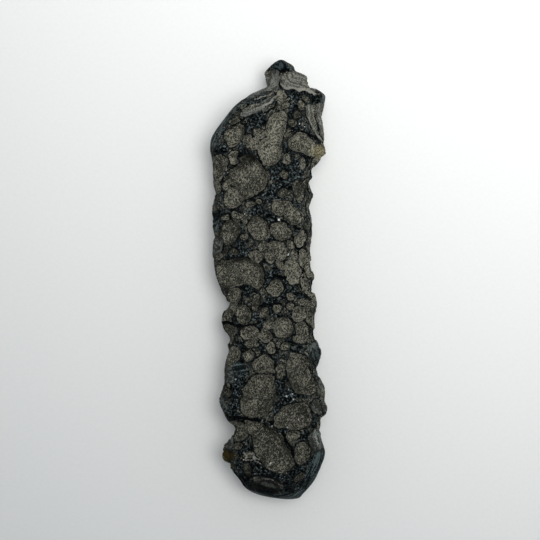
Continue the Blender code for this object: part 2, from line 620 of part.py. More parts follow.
def glass_material():
    material = bpy.data.materials.new("pitted_glass")
    material.use_nodes = True
    shader = material.node_tree.nodes["Principled BSDF"]
    shader.inputs["Base Color"].default_value = (0.045, 0.043, 0.037, 1)
    shader.inputs["Roughness"].default_value = 0.6
    shader.inputs["Metallic"].default_value = 0.0
    return material


def main():
    for obj in list(bpy.data.objects):
        bpy.data.objects.remove(obj)
    mesh = rod_mesh()
    carve(mesh)
    mesh = thin_out(mesh)
    rest_on_plane(mesh)
    mesh.name = "tektite"
    mesh.shade_smooth()
    mesh.set_sharp_from_angle(angle=math.radians(30))
    mesh.materials.append(glass_material())
    bpy.context.scene.collection.objects.link(bpy.data.objects.new("tektite", mesh))


main()
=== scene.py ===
"""A tektite lying on a pale table under soft studio light, seen from straight above.

The stone is one piece of black natural glass: a lofted rod whose knobs are raised and whose pits
are sunk along its own normals, as in its solid, with the finer pits, the crumbled glass between
them, the flow bands and the grain that the solid leaves out. Lengths are in millimetres, unless a
comment says otherwise, until the mesh is scaled.
"""

import itertools
import math
import random
from collections import namedtuple

import bmesh
import bpy
import numpy as np
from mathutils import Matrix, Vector


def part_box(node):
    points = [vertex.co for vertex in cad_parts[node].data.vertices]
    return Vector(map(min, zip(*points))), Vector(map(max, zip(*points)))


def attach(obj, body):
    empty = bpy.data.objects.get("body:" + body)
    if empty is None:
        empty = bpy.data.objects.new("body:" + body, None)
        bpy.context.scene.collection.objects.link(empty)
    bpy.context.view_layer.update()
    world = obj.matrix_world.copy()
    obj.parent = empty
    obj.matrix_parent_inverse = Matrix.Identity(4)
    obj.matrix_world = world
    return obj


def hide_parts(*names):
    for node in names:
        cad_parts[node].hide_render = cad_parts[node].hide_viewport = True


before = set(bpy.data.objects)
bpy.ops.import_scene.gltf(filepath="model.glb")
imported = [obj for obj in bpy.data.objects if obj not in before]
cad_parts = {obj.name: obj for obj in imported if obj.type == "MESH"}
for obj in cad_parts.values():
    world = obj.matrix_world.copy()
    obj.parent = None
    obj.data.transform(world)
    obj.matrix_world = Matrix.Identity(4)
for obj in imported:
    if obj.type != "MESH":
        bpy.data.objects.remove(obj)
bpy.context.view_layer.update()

MM = 0.001

# The rod, in millimetres: where along Y, left and right edge in X, underside and top in Z.
# The first and last stations are the poles of the two ends, where the rod closes to a point.
STATIONS = [
    (-45.0, 4.4, 4.4, 7.4, 7.4),
    (-44.7, 2.2, 6.6, 5.0, 10.0),
    (-44.0, -1.2, 7.4, 3.3, 12.0),
    (-43.0, -3.4, 8.3, 2.2, 13.4),
    (-41.5, -5.2, 9.4, 1.1, 14.7),
    (-39.5, -6.8, 10.7, 0.4, 15.6),
    (-37.5, -8.0, 11.4, 0.1, 16.3),
    (-35.0, -8.6, 11.8, -0.2, 16.8),
    (-32.4, -7.6, 11.5, -0.3, 17.0),
    (-30.0, -7.2, 11.3, -0.3, 17.1),
    (-28.4, -8.5, 10.9, -0.3, 17.2),
    (-27.2, -9.1, 12.1, -0.3, 17.2),
    (-25.0, -9.5, 12.0, -0.2, 17.2),
    (-22.0, -8.9, 11.7, -0.1, 17.1),
    (-19.0, -8.7, 10.7, 0.0, 16.8),
    (-16.0, -8.4, 11.3, 0.1, 16.4),
    (-13.2, -8.2, 10.6, 0.3, 16.1),
    (-11.6, -7.9, 9.9, 0.3, 16.0),
    (-9.6, -9.0, 10.0, 0.4, 15.9),
    (-7.5, -9.4, 9.8, 0.5, 15.8),
    (-4.6, -8.3, 10.2, 0.6, 15.9),
    (-2.0, -9.3, 9.5, 0.6, 16.1),
    (1.0, -10.4, 9.4, 0.5, 16.4),
    (4.6, -10.8, 9.2, 0.5, 16.6),
    (8.0, -11.0, 9.1, 0.3, 16.7),
    (12.0, -11.1, 9.5, 0.1, 16.8),
    (15.0, -11.2, 8.7, -0.1, 16.9),
    (17.4, -10.6, 9.0, -0.3, 17.2),
    (19.6, -10.6, 8.7, -0.3, 17.4),
    (21.0, -10.6, 9.8, -0.3, 17.5),
    (22.8, -11.0, 9.9, -0.2, 17.6),
    (24.0, -11.3, 10.9, -0.2, 17.6),
    (25.0, -11.5, 11.4, -0.2, 17.6),
    (26.5, -11.6, 11.6, -0.1, 17.6),
    (29.0, -11.0, 11.8, 0.1, 17.4),
    (31.5, -9.8, 11.6, 0.4, 17.1),
    (33.8, -8.1, 11.6, 0.8, 16.7),
    (36.0, -5.8, 11.9, 1.4, 16.1),
    (37.6, -3.4, 11.9, 2.1, 15.3),
    (38.7, -1.2, 10.4, 2.8, 14.0),
    (39.6, 0.1, 9.1, 3.5, 12.5),
    (41.2, -0.5, 9.5, 4.3, 11.4),
    (42.6, -0.8, 6.1, 5.2, 10.6),
    (43.8, 0.7, 5.4, 6.1, 9.8),
    (44.7, 2.0, 3.9, 6.9, 9.0),
    (45.0, 2.7, 2.7, 8.0, 8.0),
]
SQUARENESS = 2.5  # exponent of the rod's cross-section: 2 is an ellipse, more is squarer
SWELL, SWELL_SIZE = 0.22, 7.0  # height and breadth of the rod's gentle unevenness
SWELL_RISE = 12  # how fast that grows from a pole, where it is 0
PROFILE_STEPS = 1500  # steps in which the way over the skin is measured

# The larger pits on the upper side, as seen from above: points round each rim, X and Y
OUTLINES = [
    # the tip: the facet right of its ridge, then the one left of it
    [(2.7, 42.1), (4, 42.4), (5.4, 42), (6.6, 41.2), (7.5, 40.2), (8.2, 39.2), (7.2, 38.6),
     (4, 38.9), (2.8, 39.6)],
    [(2.3, 42.8), (0.8, 43), (-0.2, 42.2), (-0.4, 40.8), (0, 39.4), (1.2, 38.6), (2.2, 39.4),
     (2.5, 41.2)],
    # the upper end
    [(1.3, 33.6), (2.2, 33.9), (3.4, 33.6), (4, 32.4), (3.9, 31), (3.7, 29.6), (3.2, 28.1),
     (2, 27.4), (0.7, 27.9), (-0.3, 29.2), (-0.1, 31), (0.3, 32.4)],
    [(7.9, 35), (9.1, 35.1), (9.8, 34.3), (9.6, 33), (10, 31.6), (10.8, 28.6), (10.2, 28.8),
     (8.7, 31.8)],
    [(-5.4, 31.1), (-4.4, 30.6), (-4.6, 29.2), (-6.4, 26.9), (-7.3, 26.8), (-8.7, 28.5),
     (-8.2, 29.6), (-6.9, 30.6)],
    [(-0.6, 35.6), (-1.8, 34.2), (-3.4, 33.3), (-5.2, 32.9), (-5, 34), (-3.6, 34.9), (-1.8, 35.5)],
    [(-4.6, 32.7), (-5.6, 31.6), (-7.2, 31.2), (-7.6, 31.9), (-6.4, 32.9)],
    [(0.4, 28.6), (2, 28.4), (3.1, 27.6), (3.2, 26), (2.6, 24.2), (1.5, 23.1), (0.2, 22.8),
     (-0.9, 23.6), (-1.7, 25), (-1.3, 27.2)],
    [(4.3, 27.4), (4.6, 26.4), (5.8, 25.8), (7.4, 25.1), (8.6, 24.9), (9.6, 25.6), (9.9, 26.9),
     (8.2, 29), (6.6, 29.5), (5.3, 28.9)],
    [(-9.6, 25.2), (-8.5, 24.6), (-7.9, 23.4), (-8.2, 22.2), (-9.2, 20.9), (-10.3, 20), (-11, 21.2),
     (-11.3, 23), (-10.7, 24.6)],
    [(-7.3, 25.7), (-6.1, 25.7), (-5.8, 24.4), (-6, 23.3), (-7.3, 23.2), (-7.7, 24.4)],
    [(-4.6, 25.2), (-2.8, 24.6), (-1.4, 23.4), (-0.4, 21.9), (0.1, 20.2), (-0.2, 18.6),
     (-1.6, 17.4), (-3.4, 16.4), (-4.8, 15.9), (-5.2, 17.2), (-6.4, 18.7), (-7.5, 19.6),
     (-7.8, 20.9), (-7, 22.2), (-5.6, 22.9), (-5.4, 24.2)],
    [(-6.4, 18.6), (-5.2, 17.4), (-4.9, 16), (-5.5, 14.8), (-6.9, 14.2), (-8.2, 14.8), (-8.8, 16.2),
     (-7.6, 18.3)],
    [(6, 19.9), (7.2, 19.8), (7.7, 18.2), (7.5, 16.6), (6.8, 15.4), (6, 16.2), (5.4, 17.6),
     (5.4, 19.2)],
    # above the middle
    [(1.3, 15.4), (2.6, 16), (3.9, 15.6), (4.2, 14.4), (3.4, 13.2), (2.2, 12.9), (1.2, 13.6),
     (1, 14.6)],
    [(4.2, 15.6), (5.4, 14.9), (6.3, 13.9), (6.9, 12.6), (6.6, 11.4), (5.6, 10.9), (4.4, 11.5),
     (3.2, 13.2), (4.2, 14.6)],
    [(-7.2, 12), (-5.9, 11.4), (-5.4, 10.1), (-6, 8.4), (-7, 7.1), (-8.2, 7), (-8.9, 8.4),
     (-9.1, 9.8), (-8.6, 11.3)],
    [(-2.4, 12.9), (-1, 12.3), (0.1, 11.3), (0.6, 10), (0.4, 8.8), (-0.7, 7.8), (-2.2, 8),
     (-3.3, 9), (-3.7, 10.3), (-3.4, 11.8)],
    [(1.3, 11.3), (2.8, 11.6), (4.1, 10.9), (5.3, 9.5), (4.6, 8.3), (3.3, 7.6), (1.9, 8),
     (0.9, 9.1), (0.8, 10.3)],
    [(7.7, 9.9), (8.2, 8.9), (7.8, 7.4), (6.9, 6.3), (6, 6.3), (5.5, 7.4), (5.8, 8.7), (6.6, 9.6)],
    [(7.3, 6.3), (8.2, 5.9), (8.5, 4.4), (8.2, 2.9), (7.4, 2.6), (6.6, 3.6), (6.3, 5), (6.6, 6.1)],
    [(0.6, 7.8), (2, 7.6), (3.2, 7.2), (4, 6.3), (4.2, 5.2), (3.5, 4.2), (2.5, 3.7), (1.4, 4.4),
     (0.5, 5.4), (0.1, 6.7)],
    [(-3.5, 5.4), (-2.4, 6), (-1.2, 5.4), (-0.7, 4.4), (-1.4, 3.3), (-2.8, 3.5), (-3.6, 4.4)],
    # the middle
    [(-10.9, 3), (-9.6, 3.7), (-7.8, 3.7), (-6, 4.2), (-4.2, 4.2), (-3.2, 3.6), (-1.6, 3.1),
     (-0.5, 2.2), (-0.4, 0.6), (-0.9, -1), (-1.8, -2), (-3, -1.2), (-4.2, -0.7), (-6.4, -1.5),
     (-8.4, -1.5), (-9.6, -1), (-10.6, 0.2), (-11, 1.6)],
    [(-7.8, -1.8), (-5.3, -1.8), (-5.2, -3), (-5.6, -4.8), (-6.1, -6.3), (-6.9, -7.3), (-7.7, -7),
     (-7.9, -5.4), (-7.6, -4)],
    [(4.4, 4.6), (5.6, 3.9), (6.6, 2.9), (7.4, 1.6), (7, 0.4), (6.4, -0.6), (5.4, -1.2),
     (4.5, -0.5), (3.9, 0.8), (3.6, 2.6)],
    [(6.6, 0.1), (7.8, 0.3), (8.5, -0.8), (8.9, -2.3), (9.3, -3.6), (8.6, -3.8), (7.6, -3),
     (6.8, -1.9), (6.4, -0.9)],
    [(0.5, -0.8), (1.4, -0.1), (2.6, -0.1), (3.4, -1.2), (3.1, -2.6), (2, -3.4), (0.6, -2.9),
     (0, -1.9)],
    [(-5.2, -5.1), (-4.2, -5.2), (-3.4, -6), (-3.1, -7.1), (-3.6, -8.3), (-4.9, -8.9), (-5.9, -8.3),
     (-6.2, -7.2), (-6, -6)],
    [(6.2, -4), (7.6, -3.7), (8.8, -4.3), (9.3, -5.2), (8.6, -5.7), (7.6, -5.2), (6.4, -5.2)],
    [(6.2, -5.6), (7.2, -5.5), (8.6, -5.9), (8.8, -7), (7.8, -8), (6.6, -8.6), (5.4, -8),
     (5.1, -6.9)],
    [(1.9, -8.1), (3.1, -7.5), (4.5, -7.9), (5.3, -9), (5.4, -10.2), (4.6, -11.3), (3.1, -11.7),
     (1.8, -11.1), (1.4, -9.7)],
    [(6.2, -8.8), (7.6, -8.6), (8.5, -9.6), (8.4, -10.9), (7.4, -11.4), (6.2, -11), (5.7, -9.9)],
    [(5.2, -11.6), (6.4, -11.2), (7.6, -11.5), (8.2, -12.2), (7.2, -12.9), (5.8, -12.8)],
    [(-4.4, -9.5), (-2.9, -9.3), (-1.9, -10), (-1.6, -11.3), (-2.6, -12.1), (-4, -12),
     (-5.4, -11.4), (-5.6, -10.4)],
    [(-1.3, -10.3), (-0.2, -9.9), (0.8, -10.6), (1, -11.8), (0.1, -12.6), (-0.9, -12.4),
     (-1.6, -11.4)],
    [(-7.8, -9.5), (-6.4, -9.3), (-6, -10.4), (-6.6, -11.8), (-7.2, -12.9), (-8.2, -12.6),
     (-8, -11.4), (-8.6, -10.4)],
    # below the middle
    [(-6.9, -13.4), (-5.7, -13.8), (-5.2, -15), (-5.7, -16.3), (-7.6, -17.8), (-8.3, -17),
     (-8.2, -15.4), (-7.7, -14.2)],
    [(-4.3, -14.2), (-3.1, -14), (-2.6, -15.2), (-3.2, -16.5), (-4.3, -16.5), (-4.8, -15.4)],
    [(-2.9, -17.2), (-2.4, -16.2), (-1.2, -15.5), (0, -15.1), (1, -15.8), (1.6, -17), (1.6, -18.3),
     (0.4, -18.6), (-2.3, -18.4)],
    [(-2.6, -19.2), (-1.2, -18.8), (0.6, -18.9), (1.7, -19.6), (1.7, -21.4), (1.5, -23.4),
     (1.2, -25.4), (0.4, -26.8), (-1.4, -27.5), (-3.4, -27.6), (-4.9, -26.8), (-5.4, -25.2),
     (-5, -23.2), (-4.5, -21.4), (-3.6, -20.1)],
    [(2.2, -16.8), (3.1, -16.6), (3.6, -18.2), (3.3, -19.8), (2.3, -19.9), (2, -18.4)],
    [(5.4, -14.4), (6.8, -15), (8.1, -16.2), (8.6, -17.8), (9.2, -19.4), (10, -21), (9.9, -22.2),
     (9, -23), (7.4, -23.1), (6, -22.4), (4.9, -21), (4.1, -19.6), (3.8, -18), (4.1, -16.4),
     (4.6, -15.2)],
    [(-8.7, -18), (-7.4, -18.2), (-6.9, -19.6), (-7.4, -21), (-8.6, -21), (-9.1, -19.6)],
    [(1.4, -28.6), (1.9, -27), (3, -25.9), (4.6, -25.1), (6.4, -24.7), (7.9, -25), (8.9, -26.2),
     (9.2, -27.8), (8.8, -29.3), (7.4, -29.8), (5.6, -30), (3.6, -29.6), (2, -29.6)],
    [(9.4, -24), (10.2, -25), (11.4, -26.6), (11, -27.4), (9.9, -26.8), (9.2, -25.6)],
    [(-4.6, -28.2), (-2.6, -28.3), (-0.6, -29.1), (1.4, -30.1), (3, -31.6), (4.2, -33.4),
     (5, -35.2), (5.4, -36.8), (4.8, -38.2), (3.2, -38.7), (1.4, -38.6), (-0.2, -37.6), (-1.4, -36),
     (-2.4, -34.4), (-2.6, -32.8), (-3.2, -31), (-4.4, -29.8)],
    [(-7.6, -28.9), (-6.2, -28.2), (-4.9, -29), (-4, -30.4), (-4, -31.6), (-4.9, -32.5),
     (-6.3, -32.3), (-6.9, -31)],
    [(4.1, -30.6), (5.4, -30.2), (6.6, -30.6), (6.4, -31.8), (5.4, -32.7), (4.2, -32.2)],
    [(7, -32.6), (8.3, -33.4), (9, -34.8), (8.6, -36.2), (7.2, -37.2), (5.9, -36.6), (5.4, -35),
     (5.9, -33.4)],
    [(8.4, -31.6), (9.4, -30.3), (10.3, -29.9), (10.7, -31.4), (10.8, -33.2), (10.4, -34.6),
     (9.6, -34.2), (8.8, -33)],
    [(-3, -40), (-1.2, -39.5), (0.8, -39.9), (2.4, -40.7), (3.4, -41.8), (2.2, -42.2), (0.2, -41.9),
     (-1.6, -41.2)],
]
# The small round pits between them: X, Y, half length, half width, turn from X in degrees
ROUND_PITS = [
    (2.9, 37.2, 1.2, 1.0, 90), (3.35, 35.1, 1.4, 1.1, 0), (4.0, 43.0, 0.8, 0.6, -30),
    (6.85, 35.0, 0.9, 0.75, 90), (6.1, 33.2, 0.9, 0.8, 0), (7.9, 36.4, 0.8, 0.6, 150),
    (-1.5, 29.3, 1.4, 1.1, -20), (-3.9, 28.1, 1.1, 0.9, 60), (-2.5, 27.0, 1.5, 1.3, 40),
    (4.3, 29.3, 1.1, 0.6, 75), (5.2, 31.5, 0.9, 0.7, 0), (-8.0, 19.0, 1.1, 0.8, 60),
    (4.1, 24.1, 1.1, 0.9, 80), (7.2, 23.2, 1.1, 0.7, 80), (3.5, 21.0, 0.8, 0.7, 0),
    (3.4, 17.5, 0.9, 0.7, 20), (-3.2, 15.1, 0.9, 0.7, 0), (-1.6, 15.6, 0.8, 0.6, 0),
    (-6.0, 13.0, 1.1, 0.6, -20), (-8.3, 12.6, 0.8, 0.6, 0), (-4.7, 12.2, 1.1, 0.7, 110),
    (-4.5, 8.6, 0.8, 0.7, 0), (4.8, 7.0, 0.9, 0.7, -45), (5.5, 4.9, 1.1, 0.7, 100),
    (-0.6, 6.8, 1.1, 0.8, 60), (0.6, 4.4, 1.2, 0.85, -45), (2.7, 2.8, 1.2, 0.8, -50),
    (-9.9, 7.0, 1.8, 0.7, 95), (-9.7, 4.7, 0.9, 0.7, 0), (-6.6, 5.6, 0.9, 0.7, 20),
    (-2.2, -4.5, 1.7, 0.85, 80), (4.7, -3.4, 0.8, 0.7, 0), (4.7, -5.4, 1.0, 0.9, 0),
    (2.2, -5.8, 0.9, 0.8, 60), (-0.6, -6.8, 1.2, 0.9, 50), (0.4, -9.0, 1.1, 1.0, 0),
    (-3.1, -12.9, 1.4, 0.75, 0), (0.9, -13.6, 1.1, 0.9, 90), (3.7, -13.3, 1.0, 0.9, 0),
    (-8.0, -22.8, 0.9, 0.8, 0), (8.3, -27.9, 1.2, 0.9, 85), (-5.9, -33.4, 0.8, 0.7, 0),
    (-3.8, -38.2, 1.5, 0.9, 90), (-3.6, -35.2, 1.2, 0.7, 20), (6.8, -39.7, 1.2, 0.8, 30),
]
# Pits on the flanks: height of the middle in Z, Y, half height, half length, depth
LEFT_PITS = [
    (9.4, 18.6, 3.0, 1.6, 0.5), (5.2, 21.6, 2.2, 1.5, 0.5), (9.8, 13.4, 2.0, 1.2, 0.4),
    (8.8, 8.9, 2.2, 1.3, 0.4), (5.8, 4.6, 2.2, 1.8, 0.6), (10.6, -0.6, 1.6, 1.4, 0.5),
    (8.6, -4.5, 3.4, 1.9, 0.8), (8.0, -12.0, 2.8, 1.7, 0.5), (9.0, -15.0, 2.4, 1.5, 0.6),
    (6.0, -20.0, 3.2, 2.2, 0.5), (5.0, -25.4, 2.0, 1.9, 0.5), (8.6, -30.9, 4.0, 2.4, 1.5),
    (9.4, -40.8, 2.0, 1.3, 0.5),
]
RIGHT_PITS = [
    (9.8, 33.0, 3.0, 2.0, 0.6), (5.0, 29.6, 2.2, 1.6, 0.5), (8.6, 20.6, 3.0, 1.5, 0.5),
    (9.6, 15.0, 2.4, 1.3, 0.6), (6.4, 11.2, 2.6, 2.1, 0.4), (9.0, 6.2, 2.6, 1.7, 0.5),
    (8.4, 2.8, 2.6, 1.4, 0.6), (8.2, -1.7, 3.2, 1.4, 0.6), (8.8, -8.6, 3.0, 1.9, 0.2),
    (7.6, -11.2, 2.6, 1.5, 0.5), (9.2, -18.9, 3.2, 1.7, 0.4), (8.4, -24.3, 1.8, 1.0, 0.5),
    (8.6, -30.6, 3.6, 2.1, 0.8), (7.0, -38.4, 2.6, 1.7, 0.4),
]
# Knobs of thin glass on the flanks: X, Y, Z, radius, height
KNOBS = [
    (11.2, 26.0, 9.6, 1.9, 0.7), (11.4, 37.2, 13.2, 1.7, 0.4), (-8.2, -36.1, 9.4, 3.0, 2.8),
    (-6.9, -35.6, 14.2, 1.0, 0.4), (11.9, -26.2, 9.6, 1.5, 0.4), (-9.3, -8.9, 10.2, 1.2, 0.7),
    (9.0, 17.2, 9.4, 0.9, 0.5), (9.3, 0.5, 10.0, 1.2, 0.4), (10.6, -15.0, 10.0, 1.6, 0.3),
]

# Pits on the sides that are hidden from above, scattered with a fixed seed
HIDDEN_PITS = 330
HIDDEN_SEED = 11
HIDDEN_TRIES = 14  # places tried for each
HIDDEN_ALONG = (0.012, 0.988)  # how far along the skin they lie, from end to end
HIDDEN_SIZES = (0.9, 3.6)  # smallest and largest half length
HIDDEN_WIDTHS = (0.62, 0.95)  # least and greatest half width, as a share of the half length
HIDDEN_REACH = 1.4  # how near to its middle a pit is worked out, in half lengths
HIDDEN_SMALL_BIAS = 2.0  # how strongly small pits outnumber large ones
HIDDEN_SPACING = 0.78  # least distance between two middles, as a share of their two sizes
HIDDEN_TURNED = 0.42  # largest upward part of the normal where they are scattered
SMOOTH_PLACES = [  # two opposite corners each of the places that stay free of them
    ((-14, 23, 6), (-4, 42, 20)),
    ((-5, -47, 5), (14, -33, 20)),
    ((-14, 9, 5), (-8, 12, 14)),
]

WALL_SHARE = 0.9  # how far a pit's wall slopes in from its rim, as a share of its half width
WALL_LIMIT = 1.05  # the same at most, so that a wide pit has a level floor
DEEPEN, DEPTH_POWER = 0.85, 0.8  # depth of a pit of 1 mm half width, and how it grows with that
WHOLE_SIDE = 99  # reach of a pit that is placed by its outline alone
TURNED_LEAST, TURNED_FADE = 0.02, 0.3  # how far the skin must face a pit's view, and its fade
RAGGED, RAGGED_SIZE = 0.16, 2.2  # how far a rim wanders from its outline, and over what length
FRAYED, FRAYED_SIZE = 0.05, 0.7  # the same again at a smaller size
FLOOR_SWELL, FLOOR_SWELL_SIZE = 0.05, 1.9  # unevenness of the pits' floors
SEPTUM_SLOPE = 0.9  # how fast the depths of two pits part, away from the crest between them
NEAR_RIM = 0.7  # how far outside a rim the distance from it is still worked out

# The crumbled glass between the pits: breadth of its cells and how deep they are sunk
CELL_SIZES = (1.7, 0.8)
CELL_DEPTHS = (0.34, 0.16)
CELL_SHALLOWEST = 0.3  # depth of the shallowest cells, as a share of the deepest
CELL_WALL = 0.3  # how far a cell's wall slopes in from its border, as a share of its breadth
CELL_DULL = (0.82, 0.25)  # share of the cells that have a dull floor, outside the black patches
CELL_BEND, CELL_BEND_SIZE = 0.3, 2.4  # how far the cells are bent, and over what length
LATTICE_SHIFT = 100000  # makes the numbers of the cells' lattice positive
CRUMBLED_FROM, CRUMBLED_WHOLE = -0.05, 0.3  # how far outside a rim they begin, and are whole
# Where the glass between the pits is black and crumbled, as seen from above: X, Y, radius
BLACK_PATCHES = [
    (4.6, 37.6, 1.3), (6.5, 37.7, 2.0), (8.4, 37.5, 1.5), (10.2, 36.7, 1.2), (5.2, 33.3, 1.2),
    (6.1, 30.6, 0.9), (8.4, 29.9, 0.9), (10.3, 28.1, 0.8), (-1.6, 32.0, 1.5), (-3.4, 31.0, 1.0),
    (-4.4, 26.5, 1.2), (-8.8, 26.5, 0.8), (-2.7, 35.9, 1.5), (-0.9, 36.3, 1.0), (2.8, 21.7, 2.2),
    (4.8, 19.7, 1.7), (1.4, 17.6, 1.5), (6.2, 23.1, 1.2), (4.9, 23.9, 1.0), (-2.3, 13.9, 1.3),
    (-6.7, 5.0, 1.6), (-4.7, 5.3, 1.7), (-9.8, 11.5, 1.0), (0.7, 0.6, 1.0), (-4.0, -2.1, 1.2),
    (-2.0, -1.4, 0.9), (3.5, -3.5, 1.0), (0.7, -4.6, 1.0), (0.7, -6.2, 1.0), (-6.7, -8.9, 0.8),
    (-1.3, -8.6, 0.8), (6.4, -3.0, 0.8), (-6.1, -20.6, 1.5), (-6.7, -22.6, 1.4), (-7.1, -27.0, 1.4),
    (-5.4, -18.6, 1.1), (4.1, -23.2, 1.6), (2.8, -20.9, 1.0), (2.5, -26.2, 1.0), (-3.0, -34.2, 1.2),
    (-2.9, -36.2, 1.7), (-1.0, -38.2, 1.2), (-4.6, -39.0, 1.3), (7.6, -31.1, 1.0),
    (6.2, -39.6, 2.0), (4.8, -41.6, 1.6), (8.9, -36.9, 1.0), (-5.7, -41.4, 1.2), (-4.6, -40.6, 1.6),
    (-5.2, -37.4, 1.3), (-6.2, -33.4, 0.9), (-5.0, -34.2, 0.9), (0.4, -39.2, 1.0),
    (2.8, -39.6, 1.0), (9.8, -28.8, 0.9), (6.0, -33.0, 0.7), (-6.6, -24.8, 1.0), (0.6, -14.6, 0.9),
    (-1.6, -13.2, 0.8),
]

# Smooth bands with flow lines, as seen from above: how pale they are, the line that they flow
# along, and their border, X and Y
FLOW_BANDS = [
    # the left shoulder, and its paler part near the tip
    (0.04, [(2, 39.1), (-1.6, 37.4), (-4.4, 35.7), (-6.8, 33.3), (-8.4, 30.9), (-10.8, 25.1),
     (-11.2, 23)],
     [(2, 39.9), (1.8, 39.1), (-1.6, 37.4), (-4.4, 35.7), (-6.8, 33.3), (-8.4, 30.9), (-9.8, 27.9),
      (-10.8, 25.1), (-11.2, 23.2), (-13.5, 23), (-13.5, 31), (-9, 38), (-0.5, 41.2)]),
    (0.3, [(2.6, 41), (1.8, 38.9), (-0.8, 37.4), (-3.6, 36)],
     [(2.3, 39.6), (1.6, 38.4), (-0.8, 37.5), (-3.6, 36.2), (-3.4, 37.4), (-1.2, 39.4)]),
    # the right edge under the shoulder
    (0.06, [(10.6, 34), (10.9, 38.4)],
     [(10.9, 38.1), (10.6, 35), (11.6, 34.6), (13.5, 35), (13.5, 38), (11.6, 38.6)]),
    # the lower right edge and the lower end
    (0.02, [(9.6, -33), (8.9, -36.2), (7.2, -39.6), (6, -41.8), (3.6, -43), (0, -42.9),
     (-6.4, -41.4)],
     [(9.6, -34.6), (8.9, -36.2), (7.2, -39.6), (6.2, -42), (3.6, -43), (0, -42.9), (-3.6, -41.9),
      (-6.4, -42), (-4, -47), (6, -47), (13.5, -40), (13.5, -34.6)]),
]
# Striated facets and pits, likewise
FACETS = [
    (0.06, [(-0.4, 43.2), (1, 44.6), (2.6, 45.4)],
     [(-0.2, 43), (1.2, 44.4), (2.2, 45.4), (3.3, 45.2), (4.6, 44.2), (6.2, 43), (5.7, 42.4),
      (4.6, 42.9), (3.4, 42.6), (2.4, 42.5), (0.9, 42.9)]),
    (0.42, [(3.4, 43.4), (2.7, 41), (2.6, 39.4), (1.2, 38)],
     [(2.5, 42.5), (0.9, 42.9), (-0.3, 42.7), (-1.1, 41.5), (-1.1, 40), (-1.2, 38.9), (0.6, 38.2),
      (1.8, 38.6), (2.5, 39.6)]),
    (0.52, [(2.6, 43), (2.8, 40), (3.6, 38.9), (6.4, 38.1), (10, 37.4)],
     [(2.9, 42.0), (4.2, 42.1), (5.8, 42.7), (7.9, 41.8), (9, 40.2), (10, 38.9), (9.7, 37.9),
      (8.6, 38.1), (6.4, 38.2), (4.6, 38.7), (3.1, 39.4)]),
    (0.3, [(2.2, 37.6), (1, 35.4), (-1, 34), (-5, 32)],
     [(1.8, 37.1), (1.3, 35.9), (-0.6, 34.5), (-2.4, 33.5), (-4.4, 32.6), (-5.5, 33.1),
      (-4.6, 34.2), (-2.6, 35.1), (-0.8, 36), (0.5, 37)]),
    (0.52, [(7.9, 35.4), (8.5, 32), (10.2, 28.6), (11.6, 27.6)],
     [(8.1, 35.2), (9.2, 35.2), (9.8, 34.2), (9.6, 32.8), (10, 31.2), (11, 29), (11.4, 28.2),
      (10.3, 28.6), (8.6, 31.8)]),
    (0.54, [(9.6, 36), (9.8, 32.8), (11.4, 28), (11.6, 27.6)],
     [(10.3, 35.4), (10.2, 32.8), (10.7, 31), (11.6, 28.6), (13.5, 29), (13.5, 35), (11.4, 35.8)]),
    (0.2, [(-10, -17), (-6, -17.2)],
     [(-8.9, -17.6), (-6.9, -17.9), (-6.7, -20.6), (-8.8, -21), (-9.6, -19.4)]),
    (0.16, [(-9.4, -22), (-7.8, -25.8), (-8.2, -27.4)],
     [(-9.8, -22.6), (-8.8, -24.2), (-8, -25.8), (-8.6, -27), (-9.6, -26.4), (-10.4, -24.4)]),
    (0.3, [(10.6, -20), (10.8, -22.6), (12, -26), (11.6, -28)],
     [(10.5, -20.2), (12.4, -21), (12.8, -24), (12.6, -27), (11.6, -26.6), (11.1, -24.8),
      (10.9, -22.4)]),
    (0.26, [(9.6, -23.6), (9.9, -25.4), (11.4, -27.4)],
     [(9.8, -24), (10.7, -24.8), (11.2, -26.4), (11.3, -27.4), (10.1, -26.7), (9.5, -25.4)]),
    (0.26, [(9.6, -29.6), (9, -31.6), (9.4, -34)],
     [(8.5, -31.6), (9.4, -30.3), (10.6, -29.7), (11.6, -31.4), (11.6, -34.2), (10.4, -34.5),
      (9.5, -34.1), (8.9, -33)]),
    (0.5, [(-4, -40.4), (-1.2, -39.2), (0.8, -39.6), (4, -42)],
     [(-3, -40), (-1.2, -39.5), (0.8, -39.9), (2.4, -40.7), (3.5, -41.9), (2.2, -42.3), (0.2, -42),
      (-1.6, -41.2)]),
    (0.3, [(-7.4, -34.8), (-6.4, -32)],
     [(-9.2, -34.3), (-8.2, -32.6), (-7.2, -31.4), (-6.7, -32.4), (-7.5, -34.4)]),
    (0.12, [(-6.4, -36.6), (-4.8, -40.4)],
     [(-8.6, -36.9), (-7, -37.1), (-5.5, -40.2), (-6.7, -41), (-8.3, -38.6)]),
    (0.25, [(-9.2, 9.4), (-9.4, 5)],
     [(-11.6, 9), (-10.2, 9), (-9.7, 7.2), (-10, 5.4), (-11.6, 5.6)]),
    (0.05, [(-9.4, 14), (-9.4, 9.4)],
     [(-11.8, 14), (-10, 13.8), (-9.7, 11.6), (-10, 9.7), (-11.8, 9.7)]),
    (0.0, [(-7, -16.4), (-4, -16.2)],
     [(-6.9, -16.9), (-4.4, -16.8), (-4, -18), (-4.9, -19.6), (-6.6, -19.2)]),
    (0.2, [(8.4, 15.4), (8.4, 10.6)],
     [(8.9, 15.2), (10.6, 15), (10.6, 11.2), (9.4, 10.8), (8.7, 12.4)]),
    (0.16, [(8, -13), (9.4, -16.8), (10.2, -20)],
     [(8.6, -13.4), (10.2, -12.6), (12, -15), (12, -19), (10.4, -19.8), (9.6, -16.6)]),
]
